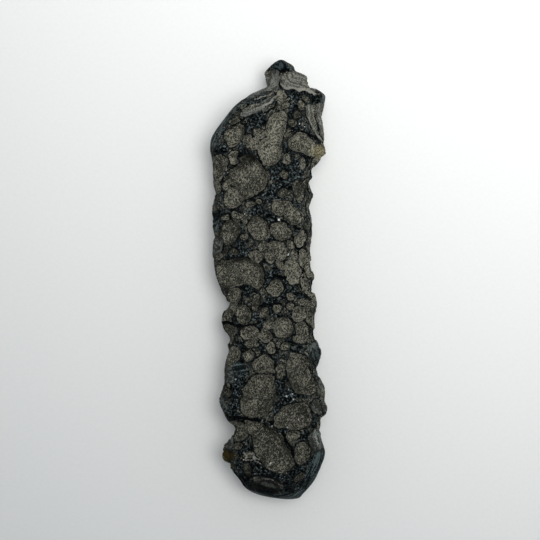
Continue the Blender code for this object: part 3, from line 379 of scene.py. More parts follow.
# Pale lines, and black ones below 0, as seen from above, partly flow lines, crust and black glass
# and partly painted highlights on lit rims and painted shadow along rims and creases: amount, half
# breadth, X and Y along them
STROKES = [
    # a painted highlight along the lit lower rim of the tip's right facet
    (0.78, 0.34, [(3.3, 39.2), (4.2, 38.6), (5.4, 38.8), (6.6, 38.4), (7.6, 38.7), (8.6, 38.2),
     (9.6, 37.5)]),
    (1.0, 0.12, [(3.6, 38.8), (4.4, 38.4), (5.4, 38.5), (6.6, 38.1), (7.6, 38.3), (8.8, 37.7)]),
    (-0.8, 0.12, [(2.9, 42.4), (2.6, 41.6), (2.8, 40.6), (2.6, 39.6), (2.9, 38.9), (4.1, 37.9)]),
    (-1.0, 0.34, [(3.4, 42.5), (3.9, 42.9), (4.4, 42.6)]),
    (-0.9, 0.2, [(0.1, 43), (1, 43.2), (2.2, 42.8), (3.1, 42.3)]),
    (0.6, 0.14, [(2.5, 39.2), (1.9, 38.1), (0.7, 37.3), (-1, 36.9), (-2.6, 36.2)]),
    (0.7, 0.16, [(1.7, 36.9), (0.9, 35.9), (-0.6, 35), (-2.4, 34.3), (-4.2, 33.4)]),
    (0.5, 0.12, [(1.5, 36.1), (0.3, 35.1), (-1.5, 34.1), (-3.4, 33.2)]),
    (-1.0, 0.17, [(1.9, 35.6), (1.4, 34.4), (0.4, 33.9), (-0.8, 33.3)]),
    (-0.9, 0.16, [(-5.4, 32.4), (-4.3, 31.6), (-3.9, 30.3), (-4.3, 29.2)]),
    # a painted shadow along the upper rim of the pit near X 7, Y 27
    (-1.0, 0.2, [(4.6, 29.6), (5.6, 29.9), (7.4, 29.8), (9, 29), (10.4, 28.2), (10.9, 27.6)]),
    (0.8, 0.14, [(8.7, 31.9), (9.3, 30.6), (10.2, 29.2), (11.2, 28.3)]),
    (-1.0, 0.22, [(-1.9, 25.1), (-1.2, 23.8), (-0.6, 22.6)]),
    (0.7, 0.14, [(-9.5, 20.4), (-8.7, 21.2), (-8, 22.2)]),
    (-0.9, 0.14, [(-7.6, 22.9), (-8.4, 22.7), (-9.2, 22.9)]),
    (-1.0, 0.18, [(-5, 15.6), (-3.6, 16.1), (-2, 16.9), (-0.6, 17.6)]),
    (-1.0, 0.26, [(1.2, 12.4), (2, 11.9), (3, 12), (4.4, 11.2)]),
    (-1.0, 0.22, [(5.6, 10.6), (6.3, 10.2), (7, 10.4)]),
    (-1.0, 0.3, [(1.4, 1), (2.2, 0.7), (3.2, 0.4), (3.9, 0.5)]),
    (-1.0, 0.24, [(-11, 3.2), (-11.1, 1.6), (-10.6, 0.1), (-9.6, -1.1)]),
    (-0.9, 0.16, [(7.7, 9.9), (8.2, 8.9), (7.8, 7.4), (6.9, 6.3), (6, 6.3), (5.5, 7.4)]),
    (-0.9, 0.16, [(6.3, 5), (6.6, 6.1), (7.3, 6.4), (8.2, 5.9), (8.5, 4.4), (8.2, 2.9),
     (7.4, 2.6)]),
    (-0.9, 0.18, [(7.5, 2), (6.6, 0.2), (6.7, -1.2), (7.4, -2.6), (8.4, -3.6), (9.2, -4)]),
    (0.6, 0.12, [(6.9, 0.1), (7.1, -1.2), (7.8, -2.4), (8.7, -3.2)]),
    (-1.0, 0.24, [(-9.4, -8.9), (-8, -8.7), (-6.6, -9.1), (-4.6, -9.2), (-2.4, -9.1),
     (-0.9, -8.2)]),
    (-1.0, 0.22, [(-0.9, -4.9), (0.4, -5), (1.6, -4.9), (2.9, -4.7)]),
    (-1.0, 0.3, [(3.4, -30.6), (4, -32.6), (4.9, -33.6), (5.3, -35.4)]),
    (-1.0, 0.3, [(-8, -27.6), (-5.6, -27.7), (-3.4, -28), (-1, -28.2), (1.2, -28.6)]),
    (0.8, 0.14, [(-4.6, -34.8), (-4, -35.5), (-4.3, -36.1), (-3.3, -36.3), (-2.6, -35.6),
     (-1.6, -36)]),
    (0.7, 0.13, [(-3.2, -34.9), (-2.5, -35.1), (-2.2, -36.6), (-1.2, -36.9)]),
    (0.6, 0.13, [(-2.2, -31.4), (-2, -32.4), (-1.3, -33.1), (-1.9, -34.1), (-1.2, -34.7)]),
    (0.8, 0.14, [(9.6, -30.2), (9.9, -31.8), (10.5, -33.6)]),
    (0.45, 0.13, [(-2.6, -40.6), (-0.9, -40), (1, -40.3), (2.9, -41.5)]),
]
# Painted glints, bright points that stand in for light caught by the glass, as seen from above: X,
# Y, radius
PAINTED_GLINTS = [
    (2.4, 12.0, 0.36), (-7.8, 21.6, 0.2), (-2.3, 19.8, 0.22), (4.35, 5.05, 0.26), (6.6, 31.4, 0.2),
    (7.6, 30.7, 0.2), (3.4, -0.1, 0.2), (-7.6, -3.0, 0.18), (4.5, -21.9, 0.19), (5.2, -22.9, 0.2),
    (5.3, -24.0, 0.25), (3.0, -24.7, 0.22), (3.9, -23.3, 0.18), (-3.9, -21.4, 0.19),
    (-5.0, -22.1, 0.2), (1.2, -29.2, 0.22), (-2.4, -33.4, 0.24), (0.7, -37.0, 0.28),
    (5.9, -4.6, 0.18), (-4.4, 13.2, 0.18), (-1.0, -19.4, 0.2), (2.5, -18.2, 0.2), (0.3, -34.3, 0.2),
    (6.4, -28.2, 0.18), (4.2, -29.6, 0.18), (-4.6, -36.2, 0.2),
]
# Patches paler or darker than their surroundings, as seen from above, partly the glass's own tone
# and partly painted shade, such as that on the upper wall of the large pit near X -4, Y 24: X, Y,
# radius, amount
TONE_AND_SHADE_PATCHES = [
    (2.6, 44.0, 2.2, -0.4), (10.2, 25.8, 1.7, 0.45), (-8.2, -35.7, 1.5, -0.38),
    (-4.2, 24.4, 2.2, -0.34), (6.2, 32.8, 1.9, -0.3), (0.8, 25.6, 3.0, 0.18), (5.8, 1.4, 2.6, 0.28),
    (6.6, 18.2, 1.7, -0.22), (2.5, 14.4, 1.5, -0.12), (3.3, 20.5, 2.4, -0.24),
    (-5.9, 5.4, 2.4, -0.26), (-7.2, 9.5, 2.2, -0.1), (-1.2, -23.4, 4.2, -0.1),
    (7.0, -20.0, 3.0, -0.12), (2.2, -34.9, 3.4, -0.16), (-4.7, -41.6, 2.4, -0.44),
    (-6.5, -35.5, 1.2, -0.2), (-6.0, 29.0, 2.4, -0.08), (3.2, -37.6, 1.6, 0.08),
    (0.4, -41.4, 2.8, -0.44), (-5.0, -38.6, 2.6, -0.16), (-6.4, -23.6, 2.4, -0.16),
    (5.4, -41.0, 2.2, -0.2), (-1.6, -6.6, 3.0, -0.1), (5.6, -28.4, 2.0, 0.1),
    (10.6, -15.6, 2.2, -0.26), (8.6, -41.0, 2.6, -0.12), (10.4, -36.4, 2.4, -0.12),
    (-9.4, -21.6, 1.6, -0.2), (-9.0, 33.6, 2.6, -0.1),
]
# Painted shade that darkens the glass towards the lower end, where the light falls off.
LOWER_END_PAINTED_SHADE, LOWER_END_FROM, LOWER_END_TO = -0.09, 30, -44  # amount, and where in Y it grows
# Where the glass is thin and olive, with the light through it painted paler, as seen from above: X,
# Y, radius, amount
OLIVE_PATCHES = [
    (11.0, 26.0, 1.4, 0.8), (9.8, 25.9, 1.2, 0.5), (-8.5, -35.8, 1.3, 0.9), (-6.8, -35.7, 0.8, 0.6),
    (-7.4, -38.0, 1.0, 0.5), (11.4, -23.0, 1.0, 0.3),
]
OLIVE_HEIGHTS = (3.0, 6.5)  # the heights over the table between which they fade out downwards
# Where these patches begin and end to fade, as shares of their radius or half breadth
BLACK_FADE, OLIVE_FADE, TONE_AND_SHADE_FADE = (0.9, 1.25), (0.5, 1.3), (0.7, 1.2)
GLINT_FADE, STROKE_FADE = (0.5, 1.0), (0.6, 1.5)
STROKE_BEND, STROKE_BEND_SIZE = 0.12, 0.9  # how far a stroke wanders, and over what length
FLOW_FADE, FACET_FADE = 0.7, 0.16  # breadth of a flow band's soft border, and of a facet's
FLOW_LOWEST, FLOW_WHOLE = 3.0, 5.0  # the heights over the table between which the bands fade out
FLOW_TOP, FLOW_CLOSER = 12.0, 1.2  # below this height the lines follow the flank, this densely
FLOW_APART = 7  # keeps the lines of one place from running on into the next
FLOW_EVEN = 0.85  # how much of a pit's depth a flow band takes away

RINGS, AROUND = 760, 480
DENSER_ABOVE = 0.35  # how much closer the points stand on top of the stone than underneath
TRIANGLES = 192000

# Black lines and dark patches are partly painted shadow and shade.
BLACK = (0.0012, 0.002, 0.0024, 1)  # the glass in a black line or a dark patch

# The studio, in metres
TABLE_HALF = 1.5
TABLE_GAP = 0.00002  # between the stone's flats and the table
SKY_TOWARDS, SKY_LOW, SKY_HIGH = (0.12, 0.74, 0.66), 0.09, 0.52
SKY_COLOUR = (0.94, 0.975, 1.0)
KEY, KEY_COLOUR = 35.8, (1.0, 0.995, 0.97)
KEY_FROM, KEY_TO = (0.146, 0.17, 0.467), (0.103, 0.189, 0.0)
KEY_RADIUS, KEY_CONE = 0.264, 51.8
LENS = 130
VIEW_MIDDLE, VIEW_HEIGHT = (0.00026, 0.00194), 0.4077

Pit = namedtuple("Pit", "middle facing across outline depth near")


def unit(v):
    v = np.asarray(v, float)
    return v / np.linalg.norm(v)


def waves(points, size, seed, count=8):
    """A smooth random unevenness, mostly from -1 to 1: plane waves about this long, summed."""
    rng = random.Random(seed)
    total = np.zeros(len(points))
    for _ in range(count):
        direction = unit([rng.gauss(0, 1) for _ in range(points.shape[1])])
        length = size * rng.uniform(0.7, 1.5)
        total += np.sin(points @ direction * (2 * math.pi / length) + rng.uniform(0, 2 * math.pi))
    return total / math.sqrt(count)


def drift(points, size, seed, parts=3):
    """A smooth random offset for each point, from as many waves as it has parts."""
    return np.column_stack([waves(points, size, seed + part) for part in range(parts)])


def curve_through(points, t, before, after):
    """Points at t, where t counts the given points, along a smooth curve through them all."""
    padded = np.vstack([before, points, after])
    k = np.clip(np.floor(t).astype(int), 0, len(points) - 2)
    f = (t - k)[:, None]
    a, b, c, d = (padded[k + i] for i in range(4))
    # the tangents allow for points that stand unevenly apart
    ab, bc, cd = (np.linalg.norm(q - p, axis=1)[:, None] for p, q in ((a, b), (b, c), (c, d)))
    leaving = (c - a) / (ab + bc) * bc
    arriving = (d - b) / (bc + cd) * bc
    smooth = 3 * f**2 - 2 * f**3
    bends = (f**3 - 2 * f**2 + f) * leaving + (f**3 - f**2) * arriving
    return (1 - smooth) * b + smooth * c + bends


def closed_curve(corners, steps=4):
    """A closed smooth curve through these corners, as a polygon with this many points a corner."""
    ring = np.vstack([corners, corners[:1]])
    t = np.arange(len(corners) * steps) / steps
    return curve_through(ring, t, corners[-1:], corners[1:2])


def open_curve(corners, steps=6):
    """A smooth open line through these corners."""
    corners = np.array(corners, float)
    t = np.linspace(0, len(corners) - 1, (len(corners) - 1) * steps + 1)
    before = 2 * corners[0] - corners[1]
    after = 2 * corners[-1] - corners[-2]
    return curve_through(corners, t, before, after)


def stations_at(t):
    """Y, left, right, low and high of the rod at t, where t counts the stations."""
    stations = np.array(STATIONS, float)
    # beyond each pole the rod's left becomes its right, and its underside its top
    mirrored = stations[:, [0, 2, 1, 4, 3]]
    return curve_through(stations, t, mirrored[1:2], mirrored[-2:-1]).T


def even_places():
    """A table from the share of the way over the rod's skin, end to end, to the station count."""
    t = np.linspace(0, len(STATIONS) - 1, PROFILE_STEPS)
    y, left, right, low, high = stations_at(t)
    profile = np.column_stack([y, (right - left) / 2, (high - low) / 2])
    way = np.concatenate([[0], np.cumsum(np.linalg.norm(np.diff(profile, axis=0), axis=1))])
    return way / way[-1], t


def rod_points(along, around):
    """Points on the smooth rod: along runs from 0 to 1, around is an angle from the top to +X."""
    share, count = even_places()
    y, left, right, low, high = stations_at(np.interp(along, share, count))
    power = 2 / SQUARENESS
    across = np.sign(np.sin(around)) * np.abs(np.sin(around)) ** power
    upward = np.sign(np.cos(around)) * np.abs(np.cos(around)) ** power
    middle = np.column_stack([(left + right) / 2, y, (low + high) / 2])
    sideways, up = (right - left) / 2 * across, (high - low) / 2 * upward
    radius = np.column_stack([sideways, np.zeros(len(y)), up])
    # the swelling fades at the poles, where every direction around meets
    fade = np.clip(np.minimum(along, 1 - along) * SWELL_RISE, 0, 1)
    swell = SWELL * fade * waves(middle + radius, SWELL_SIZE, seed=3)
    outward = radius / np.maximum(np.linalg.norm(radius, axis=1), 1e-9)[:, None]
    return middle + radius + outward * swell[:, None]


def rod_normals(along, around, step=1e-3):
    """Outward normals of the smooth rod, from two short steps over its skin."""
    on = rod_points(along, around)
    ahead = rod_points(along + step, around) - on
    beside = rod_points(along, around + 4 * step) - on
    normals = np.cross(beside, ahead)
    return normals / np.linalg.norm(normals, axis=1)[:, None]


def rod_mesh():
    """The smooth rod as a closed mesh of rings, in millimetres."""
    along = np.repeat(np.arange(1, RINGS) / RINGS, AROUND)
    turn = np.arange(AROUND) * (2 * math.pi / AROUND)
    around = np.tile(turn - DENSER_ABOVE * np.sin(turn), RINGS - 1)
    rings = rod_points(along, around)
    poles = rod_points(np.array([0.0, 1.0]), np.array([0.0, 0.0]))
    near_pole, far_pole = len(rings), len(rings) + 1
    last = (RINGS - 2) * AROUND
    faces = []
    for j in range(AROUND):
        k = (j + 1) % AROUND
        faces.append((near_pole, k, j))
        faces.append((far_pole, last + j, last + k))
        for row in range(0, last, AROUND):
            faces.append((row + j, row + k, row + AROUND + k, row + AROUND + j))
    mesh = bpy.data.meshes.new("tektite")
    mesh.from_pydata(np.vstack([rings, poles]).tolist(), [], faces)
    mesh.update()
    return mesh


def values_of(mesh, name):
    """A mesh's vertex positions ("co") or normals ("normal") as an array."""
    found = np.empty(len(mesh.vertices) * 3, np.float32)
    mesh.vertices.foreach_get(name, found)
    return found.reshape(-1, 3).astype(float)


def ellipse(long_half, wide_half, turn=0.0, corners=12):
    """Corners of an ellipse whose length is turned this far from the first axis, in radians."""
    angle = np.arange(corners) * (2 * math.pi / corners)
    u, v = long_half * np.cos(angle), wide_half * np.sin(angle)
    c, s = math.cos(turn), math.sin(turn)
    return np.column_stack([u * c - v * s, u * s + v * c])


def depth_for(half):
    """The usual depth of a pit whose half width is this."""
    return DEEPEN * half**DEPTH_POWER


def half_width(outline):
    """Half the smaller breadth of an outline, from its area and its length."""
    x, y = outline.T
    area = abs(np.dot(x, np.roll(y, 1)) - np.dot(y, np.roll(x, 1))) / 2
    length = np.max(np.linalg.norm(outline - outline.mean(axis=0), axis=1))
    return area / (math.pi * length)


def seen_pits():
    """The pits on the upper side and on both flanks."""
    from_above = (0, 0, 0), (0, 0, 1), (1, 0, 0)
    pits = []
    for corners in OUTLINES:
        corners = np.array(corners, float)
        pits.append(Pit(*from_above, corners, depth_for(half_width(corners)), WHOLE_SIDE))
    for x, y, long_half, wide_half, turn in ROUND_PITS:
        corners = ellipse(long_half, wide_half, math.radians(turn)) + (x, y)
        pits.append(Pit(*from_above, corners, depth_for(wide_half), WHOLE_SIDE))
    for rows, side in ((LEFT_PITS, -1), (RIGHT_PITS, 1)):
        for z, y, tall_half, long_half, depth in rows:
            corners = ellipse(long_half, tall_half) * (side, 1) + (side * y, z)
            pits.append(Pit((0, 0, 0), (side, 0, 0), (0, side, 0), corners, depth, WHOLE_SIDE))
    return pits


def is_smooth(point):
    """Whether a point lies in one of the places that have no scattered pits."""
    return any(np.all(point > low) and np.all(point < high) for low, high in SMOOTH_PLACES)


def hidden_pits():
    """Pits scattered over the underside, the low flanks and the ends, each in its tangent plane."""
    rng = random.Random(HIDDEN_SEED)
    smallest, largest = HIDDEN_SIZES
    tries = HIDDEN_TRIES * HIDDEN_PITS
    along = np.array([rng.uniform(*HIDDEN_ALONG) for _ in range(tries)])
    around = np.array([rng.uniform(0, 2 * math.pi) for _ in range(tries)])
    pits, sizes = [], []
    for middle, normal in zip(rod_points(along, around), rod_normals(along, around)):
        size = smallest + (largest - smallest) * rng.random() ** HIDDEN_SMALL_BIAS
        half, turn = size * rng.uniform(*HIDDEN_WIDTHS), rng.uniform(0, math.pi)
        if normal[2] > HIDDEN_TURNED or len(pits) == HIDDEN_PITS or is_smooth(middle):
            continue
        apart = [np.linalg.norm(middle - pit.middle) for pit in pits]
        if any(a < HIDDEN_SPACING * (size + other) for a, other in zip(apart, sizes)):
            continue
        across = unit(np.cross((0.0, 1.0, 0.01), normal))
        corners = ellipse(size, half, turn)
        pits.append(Pit(middle, normal, across, corners, depth_for(half), HIDDEN_REACH * size))
        sizes.append(size)
    return pits


def signed_distance(u, v, outline):
    """How far inside an outline each point lies; below 0 outside it."""
    nearest = np.full(len(u), np.inf)
    inside = np.zeros(len(u), bool)
    for (u0, v0), (u1, v1) in zip(outline, np.roll(outline, -1, axis=0)):
        du, dv = u1 - u0, v1 - v0
        f = np.clip(((u - u0) * du + (v - v0) * dv) / (du * du + dv * dv), 0, 1)
        nearest = np.minimum(nearest, (u - u0 - f * du) ** 2 + (v - v0 - f * dv) ** 2)
        crosses = (v0 > v) != (v1 > v)
        if v0 != v1:
            inside ^= crosses & (u < u0 + (v - v0) / dv * du)
    return np.where(inside, 1, -1) * np.sqrt(nearest)


def smooth_step(values, low, high):
    f = np.clip((values - low) / (high - low), 0, 1)
    return f * f * (3 - 2 * f)


def in_patch(points, x, y, radius, fade):
    """1 in the middle of a round place, as seen from above, and 0 outside it."""
    apart = np.hypot(points[:, 0] - x, points[:, 1] - y) / radius
    return smooth_step(-apart, -fade[1], -fade[0])


def sunk(points, normals, pits):
    """Each point's depth in the pits, how far inside a rim and from a crest it is, and a tone."""
    deepest, second = np.zeros(len(points)), np.zeros(len(points))
    rim, tone = np.full(len(points), -NEAR_RIM), np.zeros(len(points))
    wander = RAGGED * drift(points, RAGGED_SIZE, seed=21)
    wander += FRAYED * drift(points, FRAYED_SIZE, seed=24)
    rng = random.Random(5)
    for pit in pits:
        pit_tone = rng.uniform(-1, 1)
        facing, across = unit(pit.facing), unit(pit.across)
        upward = np.cross(facing, across)
        towards = normals @ facing
        offset = points + wander - pit.middle
        u, v = offset @ across, offset @ upward
        low, high = pit.outline.min(axis=0) - NEAR_RIM, pit.outline.max(axis=0) + NEAR_RIM
        near = (u > low[0]) & (u < high[0]) & (v > low[1]) & (v < high[1])
        near &= (towards > TURNED_LEAST) & (np.abs(offset @ facing) < pit.near)
        if not near.any():
            continue
        wall = min(WALL_SHARE * half_width(pit.outline), WALL_LIMIT)
        distance = signed_distance(u[near], v[near], closed_curve(pit.outline))
        # a pit placed by its outline fades where the skin turns away from that view
        fade = np.clip((towards[near] - TURNED_LEAST) / TURNED_FADE, 0, 1)
        depth = fade * pit.depth * (1 - (1 - np.clip(distance / wall, 0, 1)) ** 2)
        was = deepest[near]
        wins = depth > was
        second[near] = np.where(wins, was, np.maximum(second[near], depth))
        deepest[near] = np.maximum(was, depth)
        tone[near] = np.where(wins, pit_tone, tone[near])
        rim[near] = np.maximum(rim[near], np.where(distance > 0, distance * fade, distance))
    crest = np.where(second > 0, (deepest - second) / SEPTUM_SLOPE, 1.0)
    return deepest, rim, crest, tone


def scattered(corner, seed):
    """Three numbers from 0 to 1 for each cell of a cubic lattice, from its whole coordinates."""
    mixed = np.full(len(corner), seed * 7919, np.uint64)
    for whole, factor in zip(corner.astype(np.uint64).T, (73856093, 19349663, 83492791)):
        mixed = mixed ^ whole * np.uint64(factor)
    found = []
    for _ in range(3):
        for shift, factor in ((15, 2246822519), (13, 3266489917)):
            mixed = (mixed ^ (mixed >> np.uint64(shift))) * np.uint64(factor)
            mixed = mixed & np.uint64(0xFFFFFFFF)
        found.append(mixed / 2**32)
    return np.column_stack(found)


def cells(points, size, seed):
    """How far each point is from its cell's border, for cells this broad, and the cell's number."""
    scaled = points / size
    lattice = np.floor(scaled)
    nearest, following = np.full(len(points), np.inf), np.full(len(points), np.inf)
    number = np.zeros(len(points))
    for shift in itertools.product((-1, 0, 1), repeat=3):
        corner = lattice + shift
        inside = scattered((corner + LATTICE_SHIFT).astype(np.int64), seed)
        apart = np.linalg.norm(scaled - corner - inside, axis=1)
        closer = apart < nearest
        following = np.where(closer, nearest, np.minimum(following, apart))
        number = np.where(closer, inside[:, 0], number)
        nearest = np.minimum(nearest, apart)
    return (following - nearest) * size / 2, number


def crumbled(points):
    """Depth of the cells between the pits, and how far in a dull one and from a border it is."""
    depth, inside, black = (np.zeros(len(points)) for _ in range(3))
    crest = np.full(len(points), 1.0)
    bent = points + CELL_BEND * drift(points, CELL_BEND_SIZE, seed=31)
    for x, y, radius in BLACK_PATCHES:
        black = np.maximum(black, in_patch(bent, x, y, radius, BLACK_FADE))
    for seed, (size, deep) in enumerate(zip(CELL_SIZES, CELL_DEPTHS)):
        apart, number = cells(bent, size, seed)
        deep = deep * (CELL_SHALLOWEST + (1 - CELL_SHALLOWEST) * number)
        depth += deep * (1 - (1 - np.clip(apart / (CELL_WALL * size), 0, 1)) ** 2)
        dull = number < CELL_DULL[seed]
        inside = np.maximum(inside, np.where(dull, apart, 0) * (1 - black))
        crest = np.minimum(crest, apart)
    return depth, inside, crest


def apart_from(flat, line):
    """How far each point, seen from above, is from an open line."""
    apart = np.full(len(flat), np.inf)
    for start, end in zip(line, line[1:]):
        leg = end - start
        along = np.clip((flat - start) @ leg / (leg @ leg), 0, 1)
        apart = np.minimum(apart, np.linalg.norm(flat - start - along[:, None] * leg, axis=1))
    return apart


def banded(points, places, fade):
    """How far each point is in a striated place, how far from its line, and how pale it is."""
    share, stream, paleness = (np.zeros(len(points)) for _ in range(3))
    above = smooth_step(points[:, 2], FLOW_LOWEST, FLOW_WHOLE)
    for number, (pale, line, border) in enumerate(places):
        border = closed_curve(np.array(border, float))
        low, high = border.min(axis=0), border.max(axis=0)
        near = ((points[:, :2] > low) & (points[:, :2] < high)).all(axis=1)
        inside = signed_distance(points[near, 0], points[near, 1], border)
        wins = inside > 0
        down = np.clip(FLOW_TOP - points[near, 2], 0, None)
        apart = apart_from(points[near, :2], open_curve(line))
        apart = apart + FLOW_CLOSER * down + FLOW_APART * number
        stream[near] = np.where(wins, apart, stream[near])
        paleness[near] = np.where(wins, pale, paleness[near])
        share[near] = np.maximum(share[near], smooth_step(inside, 0, fade) * above[near])
    return share, stream, paleness


def marked(points):
    """How pale, above 0, or black, below 0, each point is along the strokes, which are partly
    painted highlight and painted shadow.
    """
    found = np.zeros(len(points))
    bent = points[:, :2] + STROKE_BEND * drift(points, STROKE_BEND_SIZE, seed=41, parts=2)
    for amount, half, places in STROKES:
        line = np.array(places, float)
        full, reach = STROKE_FADE[0] * half, STROKE_FADE[1] * half
        low, high = line.min(axis=0) - reach, line.max(axis=0) + reach
        near = ((bent > low) & (bent < high)).all(axis=1) & (points[:, 2] > FLOW_LOWEST)
        here = amount * smooth_step(-apart_from(bent[near], line), -reach, -full)
        found[near] = np.where(np.abs(here) > np.abs(found[near]), here, found[near])
    return found


def painted_glinting(points):
    """How bright each point is, from 0 to 1, near the painted glints."""
    share = np.zeros(len(points))
    for x, y, radius in PAINTED_GLINTS:
        share = np.maximum(share, in_patch(points, x, y, radius, GLINT_FADE))
    return share * (points[:, 2] > FLOW_LOWEST)


def olive_share(points):
    """How far the glass is thin and olive at each point, from 0 to 1."""
    share = np.zeros(len(points))
    for x, y, radius, amount in OLIVE_PATCHES:
        share = np.maximum(share, amount * in_patch(points, x, y, radius, OLIVE_FADE))
    return share * smooth_step(points[:, 2], *OLIVE_HEIGHTS)


def tone_and_painted_shade(points):
    """How much paler or darker, below 0, the glass is than elsewhere: partly its own tone, partly
    painted shade, with the painted shade of the lower end.
    """
    light = LOWER_END_PAINTED_SHADE * smooth_step(-points[:, 1], -LOWER_END_FROM, -LOWER_END_TO)
    for x, y, radius, amount in TONE_AND_SHADE_PATCHES:
        light += amount * in_patch(points, x, y, radius, TONE_AND_SHADE_FADE)
    return light


def knob_heights(points):
    """How far each point is raised by the knobs."""
    raised = np.zeros(len(points))
    for x, y, z, radius, height in KNOBS:
        apart = np.linalg.norm(points - (x, y, z), axis=1) / radius
        raised += height * np.clip(1 - apart**2, 0, None) ** 1.5
    return raised


def carve(mesh):
    """Raises the knobs and sinks the pits along the normals, and keeps what the glass needs."""
    points, normals = values_of(mesh, "co"), values_of(mesh, "normal")
    depth, rim, septum, tone = sunk(points, normals, seen_pits() + hidden_pits())
    bare = smooth_step(-rim, CRUMBLED_FROM, CRUMBLED_WHOLE)
    band, band_stream, band_pale = banded(points, FLOW_BANDS, FLOW_FADE)
    facet, facet_stream, facet_pale = banded(points, FACETS, FACET_FADE)
    small, border, crumb = crumbled(points)
    knobs = knob_heights(points)
    swell = FLOOR_SWELL * waves(points, FLOOR_SWELL_SIZE, seed=9, count=12)
    depth = depth * (1 - FLOW_EVEN * band) + small * bare * (1 - band) + swell * (1 - bare)
    points += normals * (knobs - depth)[:, None]
    mesh.vertices.foreach_set("co", points.astype(np.float32).ravel())
    mesh.update()
    kept = {"rim": rim, "septum": septum, "tone": tone, "border": border, "crumb": crumb}
    kept["olive"] = olive_share(points)
    kept["band"] = np.maximum(band * (1 - facet), facet)
    kept["stream"] = np.where(facet > 0, facet_stream, band_stream)
    kept["pale"] = np.where(facet > 0, facet_pale, band_pale)
    kept.update(mark=marked(points), glint=painted_glinting(points), knob=knobs, light=tone_and_painted_shade(points))
    for name, values in kept.items():
        found = mesh.attributes.new(name, "FLOAT", "POINT")
        found.data.foreach_set("value", values.astype(np.float32))


def thin_out(mesh):
    """The same surface with fewer triangles, kept where the relief is sharpest."""
    triangles = sum(len(face.vertices) - 2 for face in mesh.polygons)
    rough = bpy.data.objects.new("rough", mesh)
    bpy.context.scene.collection.objects.link(rough)
    thinner = rough.modifiers.new("thinner", "DECIMATE")
    thinner.ratio = TRIANGLES / triangles
    bpy.context.view_layer.update()
    graph = bpy.context.evaluated_depsgraph_get()
    thin = bpy.data.meshes.new_from_object(rough.evaluated_get(graph))
    bpy.data.objects.remove(rough)
    return thin


def rest_on_plane(mesh):
    """Moves the stone to its solid, wears its lowest ridges flat, and scales it to metres."""
    points = values_of(mesh, "co")
    low, high = points.min(axis=0), points.max(axis=0)
    solid_low, solid_high = (np.array(corner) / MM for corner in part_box("tektite"))
    move = (solid_low + solid_high) / 2 - (low + high) / 2
    move[2] = solid_high[2] - high[2]
    bm = bmesh.new()
    bm.from_mesh(mesh)
    bmesh.ops.translate(bm, verts=bm.verts, vec=move)
    everything = bm.verts[:] + bm.edges[:] + bm.faces[:]
    down = (0, 0, -1)
    bmesh.ops.bisect_plane(bm, geom=everything, plane_co=(0, 0, 0), plane_no=down, clear_outer=True)
    # a flat that rings a pit leaves the pit open
    rims = [edge for edge in bm.edges if edge.is_boundary]
    bmesh.ops.triangle_fill(bm, edges=rims, use_beauty=True, normal=down)
    bmesh.ops.scale(bm, verts=bm.verts, vec=(MM, MM, MM))
    bmesh.ops.triangulate(bm, faces=bm.faces)
    bm.to_mesh(mesh)
    bm.free()


class Graph:
    """A material's nodes, added one at a time with their inputs."""

    def __init__(self, name):
        self.material = bpy.data.materials.new(name)
        self.material.use_nodes = True
        self.tree = self.material.node_tree
        self.shader = self.tree.nodes["Principled BSDF"]

    def add(self, kind, inputs=(), **settings):
        node = self.tree.nodes.new("ShaderNode" + kind)
        for name, value in settings.items():
            setattr(node, name, value)
        for name, value in dict(inputs).items():
            self.put(node.inputs[name], value)
        return node

    def put(self, socket, value):
        if isinstance(value, bpy.types.NodeSocket):
            self.tree.links.new(value, socket)
        else:
            socket.default_value = value

    def math(self, operation, *values):
        return self.add("Math", enumerate(values), operation=operation).outputs[0]

    def read(self, name):
        return self.add("Attribute", attribute_name=name).outputs["Fac"]

    def vary(self, base, value, amount):
        """base, plus amount times how far value is above 0.5."""
        return self.math("MULTIPLY_ADD", self.math("SUBTRACT", value, 0.5), amount, base)

    def noise(self, scale, detail=2.0, roughness=0.5, vector=None):
        inputs = {"Scale": scale, "Detail": detail, "Roughness": roughness}
        inputs["Vector"] = vector or self.place
        return self.add("TexNoise", inputs).outputs["Fac"]

    def cell(self, scale):
        """A number from 0 to 1 for each of many scattered cells."""
        return self.add("TexVoronoi", {"Vector": self.place, "Scale": scale}).outputs["Color"]

    def step(self, value, low, high, to_low=0.0, to_high=1.0):
        """value brought from low..high to to_low..to_high along a smooth curve."""
        inputs = {"Value": value, "From Min": low, "From Max": high}
        inputs.update({"To Min": to_low, "To Max": to_high})
        return self.add("MapRange", inputs, interpolation_type="SMOOTHSTEP").outputs["Result"]

    def mix(self, share, first, second):
        found = self.add("Mix", {"Factor": share}, data_type="RGBA")
        self.put(found.inputs[6], first)
        self.put(found.inputs[7], second)
        return found.outputs[2]


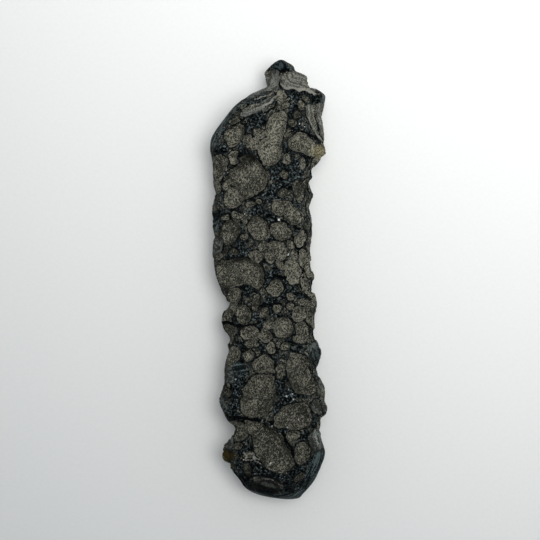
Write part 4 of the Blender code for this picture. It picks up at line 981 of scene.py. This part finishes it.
def glass_material():
    """Black glass: dull brown-grey in the pits, black between them."""
    g = Graph("pitted_glass")
    g.place = g.add("TexCoord").outputs["Object"]
    rim, septum, tone, border = g.read("rim"), g.read("septum"), g.read("tone"), g.read("border")
    band, stream, light, mark = g.read("band"), g.read("stream"), g.read("light"), g.read("mark")

    grain = g.noise(2400, detail=2, roughness=0.75)
    speck = g.cell(5200)
    blotch = g.noise(420, detail=3, roughness=0.6)
    fray = g.noise(1300, detail=2, roughness=0.6)
    grit = g.vary(g.vary(0.0, speck, 0.78), grain, 0.36)

    # how much a place is a pit's floor: 0 on the crests between pits, 1 inside
    frayed = g.vary(0.0, fray, 0.4)
    inside = g.math("ADD", g.math("ADD", rim, frayed), 0.12)
    gap = g.vary(inside, g.noise(340, detail=2), 0.9)
    crest_shown = g.step(g.noise(520, detail=1), 0.4, 0.58, 0.25, 1.0)
    crest_shown = g.math("MULTIPLY", g.step(septum, 0.2, 0.06), crest_shown)
    floor = g.math("MULTIPLY", g.step(inside, 0.05, 0.16), g.math("SUBTRACT", 1.0, crest_shown))
    small_floor = g.step(g.math("ADD", border, frayed), 0.08, 0.18, 0, 0.78)
    small_floor = g.math("MULTIPLY", small_floor, g.step(gap, -0.05, -0.17))
    dull = g.math("MAXIMUM", floor, small_floor)
    # a pale line along the rims of the pits, partly worn rims and partly a painted highlight where
    # their walls catch the light
    pale = g.math("MULTIPLY", g.step(inside, 0.14, 0.24), g.step(inside, 0.42, 0.3))
    pale = g.math("MULTIPLY", pale, g.step(g.noise(330, detail=1), 0.44, 0.58))

    # the dull glass of the floors, with painted shade towards the rims and painted sparkles
    level = g.math("MULTIPLY_ADD", grit, 2.2, 0.47)
    # painted sparkles: small bright points on the floors
    level = g.math("ADD", level, g.step(g.cell(2700), 0.93, 0.96, 0, 0.42))
    # painted shade towards the rims
    level = g.math("ADD", level, g.step(inside, 0.08, 0.55, -0.17, 0.0))
    level = g.vary(level, blotch, 1.3)
    level = g.math("MULTIPLY_ADD", tone, 0.08, level)
    level = g.math("MULTIPLY_ADD", pale, 0.3, level)
    # the patches of tone and painted shade
    level = g.math("ADD", level, light)
    ramp = g.add("ValToRGB", {"Fac": level})
    stops = ramp.color_ramp.elements
    stops[0].position, stops[0].color = 0.0, (0.02, 0.021, 0.017, 1)
    stops[1].position, stops[1].color = 1.0, (0.25, 0.242, 0.196, 1)
    middle = stops.new(0.5)
    middle.color = (0.072, 0.073, 0.0605, 1)
    floor_colour = ramp.outputs["Color"]

    # the bare glass between them: black, with grey crumbs, grey crests and bright points, painted
    # highlights that put the glass's bluish sheen and glints into its colour
    crumbs = g.vary(g.noise(2300, detail=1), speck, 0.12)
    crumbs = g.step(crumbs, 0.59, 0.66, 0, 0.38)
    crumbs = g.math("MULTIPLY", crumbs, g.step(blotch, 0.42, 0.56, 0.15, 1.0))
    crests = g.step(grain, 0.5, 0.62, 0, 0.18)
    crests = g.math("MULTIPLY", g.step(g.read("crumb"), 0.12, 0.03), crests)
    bare_highlights = g.math("MAXIMUM", crumbs, crests)
    bare_highlights = g.math("MAXIMUM", bare_highlights, g.step(g.cell(3300), 0.94, 0.97, 0, 0.95))
    bare_highlights = g.math("MULTIPLY", bare_highlights, g.step(gap, 0.0, -0.3, 0.25, 1.0))
    bare_colour = g.mix(bare_highlights, (0.0004, 0.001, 0.0012, 1), (0.29, 0.36, 0.375, 1))
    colour = g.mix(dull, bare_colour, floor_colour)

    # the flow bands and facets: lines along them, a little wavy
    lines_at = g.add("CombineXYZ", {"X": stream, "Y": 0.0, "Z": 0.0}).outputs[0]
    wave = g.add("VectorMath", {0: g.place, 1: (130, 130, 130)}, operation="MULTIPLY").outputs[0]
    lines_at = g.add("VectorMath", {0: lines_at, 1: wave}, operation="ADD").outputs[0]
    lines = g.noise(2.0, detail=2, roughness=0.6, vector=lines_at)
    line_level = g.step(g.math("MULTIPLY_ADD", grit, 0.35, lines), 0.47, 0.6)
    band_pale = g.math("MULTIPLY_ADD", grit, 0.3, g.read("pale"))
    # the bands follow the patches of tone and painted shade too
    band_pale = g.math("MULTIPLY_ADD", light, 0.4, band_pale)
    band_dark = g.mix(band_pale, (0.005, 0.0075, 0.0085, 1), (0.13, 0.126, 0.105, 1))
    band_light = g.mix(band_pale, (0.072, 0.098, 0.101, 1), (0.34, 0.33, 0.28, 1))
    colour = g.mix(band, colour, g.mix(line_level, band_dark, band_light))
    # where those patches are darkest the glass turns black, partly painted shade
    colour = g.mix(g.step(light, -0.12, -0.6, 0, 0.75), colour, BLACK)

    # thin glass is olive and lets some light through, painted here as a paler colour, most of it at
    # the end of a knob
    painted_shine_through = g.math("MULTIPLY_ADD", grit, 1.7, light)
    painted_shine_through = g.math("MULTIPLY_ADD", g.read("knob"), 0.2, painted_shine_through)
    painted_shine_through = g.step(painted_shine_through, 0.0, 0.9)
    olive_colour = g.mix(painted_shine_through, (0.04, 0.031, 0.009, 1), (0.46, 0.42, 0.26, 1))
    colour = g.mix(g.read("olive"), colour, olive_colour)

    # single lines, partly painted highlights and painted shadows, and painted glints
    mark = g.math("MULTIPLY_ADD", grit, 0.5, mark)
    colour = g.mix(g.step(mark, 0.25, 0.7, 0, 0.8), colour, (0.29, 0.283, 0.25, 1))
    colour = g.mix(g.step(mark, -0.3, -0.65), colour, BLACK)
    # painted glints: bright points that stand in for light caught by the glass
    glint = g.step(g.math("MULTIPLY_ADD", grit, 0.8, g.read("glint")), 0.45, 0.75)
    colour = g.mix(glint, colour, (0.6, 0.62, 0.6, 1))

    # relief finer than the mesh
    bare = g.math("SUBTRACT", 1.0, dull)
    relief = g.math("MULTIPLY", grit, g.math("MULTIPLY_ADD", bare, -0.4, 1.0))
    relief = g.math("MULTIPLY", relief, g.math("MULTIPLY_ADD", band, -0.75, 1.0))
    relief = g.math("MULTIPLY_ADD", g.math("MULTIPLY", lines, band), 1.4, relief)
    bump = g.add("Bump", {"Height": relief, "Strength": 1.0, "Distance": 0.0002})

    g.put(g.shader.inputs["Base Color"], colour)
    g.put(g.shader.inputs["Roughness"], g.step(dull, 0, 1, 0.4, 0.85))
    g.put(g.shader.inputs["Normal"], bump.outputs["Normal"])
    g.shader.inputs["IOR"].default_value = 1.5
    g.shader.inputs["Specular IOR Level"].default_value = 0.015
    return g.material


def table_material():
    g = Graph("pale_table")
    g.place = g.add("TexCoord").outputs["Object"]
    grain = g.noise(1400, detail=3, roughness=0.6)
    colour = g.mix(grain, (0.78, 0.79, 0.79, 1), (0.83, 0.84, 0.84, 1))
    bump = g.add("Bump", {"Height": grain, "Strength": 0.25, "Distance": 0.0001})
    g.put(g.shader.inputs["Base Color"], colour)
    g.put(g.shader.inputs["Normal"], bump.outputs["Normal"])
    g.shader.inputs["Roughness"].default_value = 0.7
    g.shader.inputs["Specular IOR Level"].default_value = 0.2
    return g.material


def add_object(name, data):
    obj = bpy.data.objects.new(name, data)
    bpy.context.scene.collection.objects.link(obj)
    return obj


def add_stone():
    mesh = rod_mesh()
    carve(mesh)
    mesh = thin_out(mesh)
    rest_on_plane(mesh)
    mesh.name = "stone"
    mesh.shade_smooth()
    mesh.materials.append(glass_material())
    stone = add_object("stone", mesh)
    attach(stone, "root")
    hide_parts("tektite")


def add_table():
    mesh = bpy.data.meshes.new("table")
    half = TABLE_HALF
    corners = [(-half, -half, 0), (half, -half, 0), (half, half, 0), (-half, half, 0)]
    mesh.from_pydata(corners, [], [(0, 1, 2, 3)])
    mesh.materials.append(table_material())
    table = add_object("table", mesh)
    table.location.z = -TABLE_GAP


def point_at(obj, target):
    direction = np.array(target) - np.array(obj.location)
    obj.rotation_euler = Vector(direction).to_track_quat("-Z", "Y").to_euler()


def add_light():
    world = bpy.data.worlds.new("studio")
    bpy.context.scene.world = world
    world.use_nodes = True
    tree = world.node_tree
    background = tree.nodes["Background"]
    background.inputs["Color"].default_value = (*SKY_COLOUR, 1)
    direction = tree.nodes.new("ShaderNodeTexCoord")
    towards = tree.nodes.new("ShaderNodeVectorMath")
    towards.operation = "DOT_PRODUCT"
    towards.inputs[1].default_value = SKY_TOWARDS
    fall = tree.nodes.new("ShaderNodeMapRange")
    fall.inputs["From Min"].default_value = -1.0
    fall.inputs["To Min"].default_value, fall.inputs["To Max"].default_value = SKY_LOW, SKY_HIGH
    tree.links.new(direction.outputs["Generated"], towards.inputs[0])
    tree.links.new(towards.outputs["Value"], fall.inputs["Value"])
    tree.links.new(fall.outputs["Result"], background.inputs["Strength"])
    spot = bpy.data.lights.new("softbox", "SPOT")
    spot.energy = KEY
    spot.color = KEY_COLOUR
    spot.shadow_soft_size = KEY_RADIUS
    spot.spot_size = math.radians(KEY_CONE)
    spot.spot_blend = 1.0
    softbox = add_object("softbox", spot)
    softbox.location = KEY_FROM
    point_at(softbox, KEY_TO)


def add_camera():
    data = bpy.data.cameras.new("camera")
    data.lens = LENS
    data.clip_start, data.clip_end = 0.01, 10
    camera = add_object("camera", data)
    camera.location = (VIEW_MIDDLE[0], VIEW_MIDDLE[1], VIEW_HEIGHT)
    bpy.context.scene.camera = camera


bpy.context.scene.view_settings.view_transform = "Standard"
add_stone()
add_table()
add_light()
add_camera()
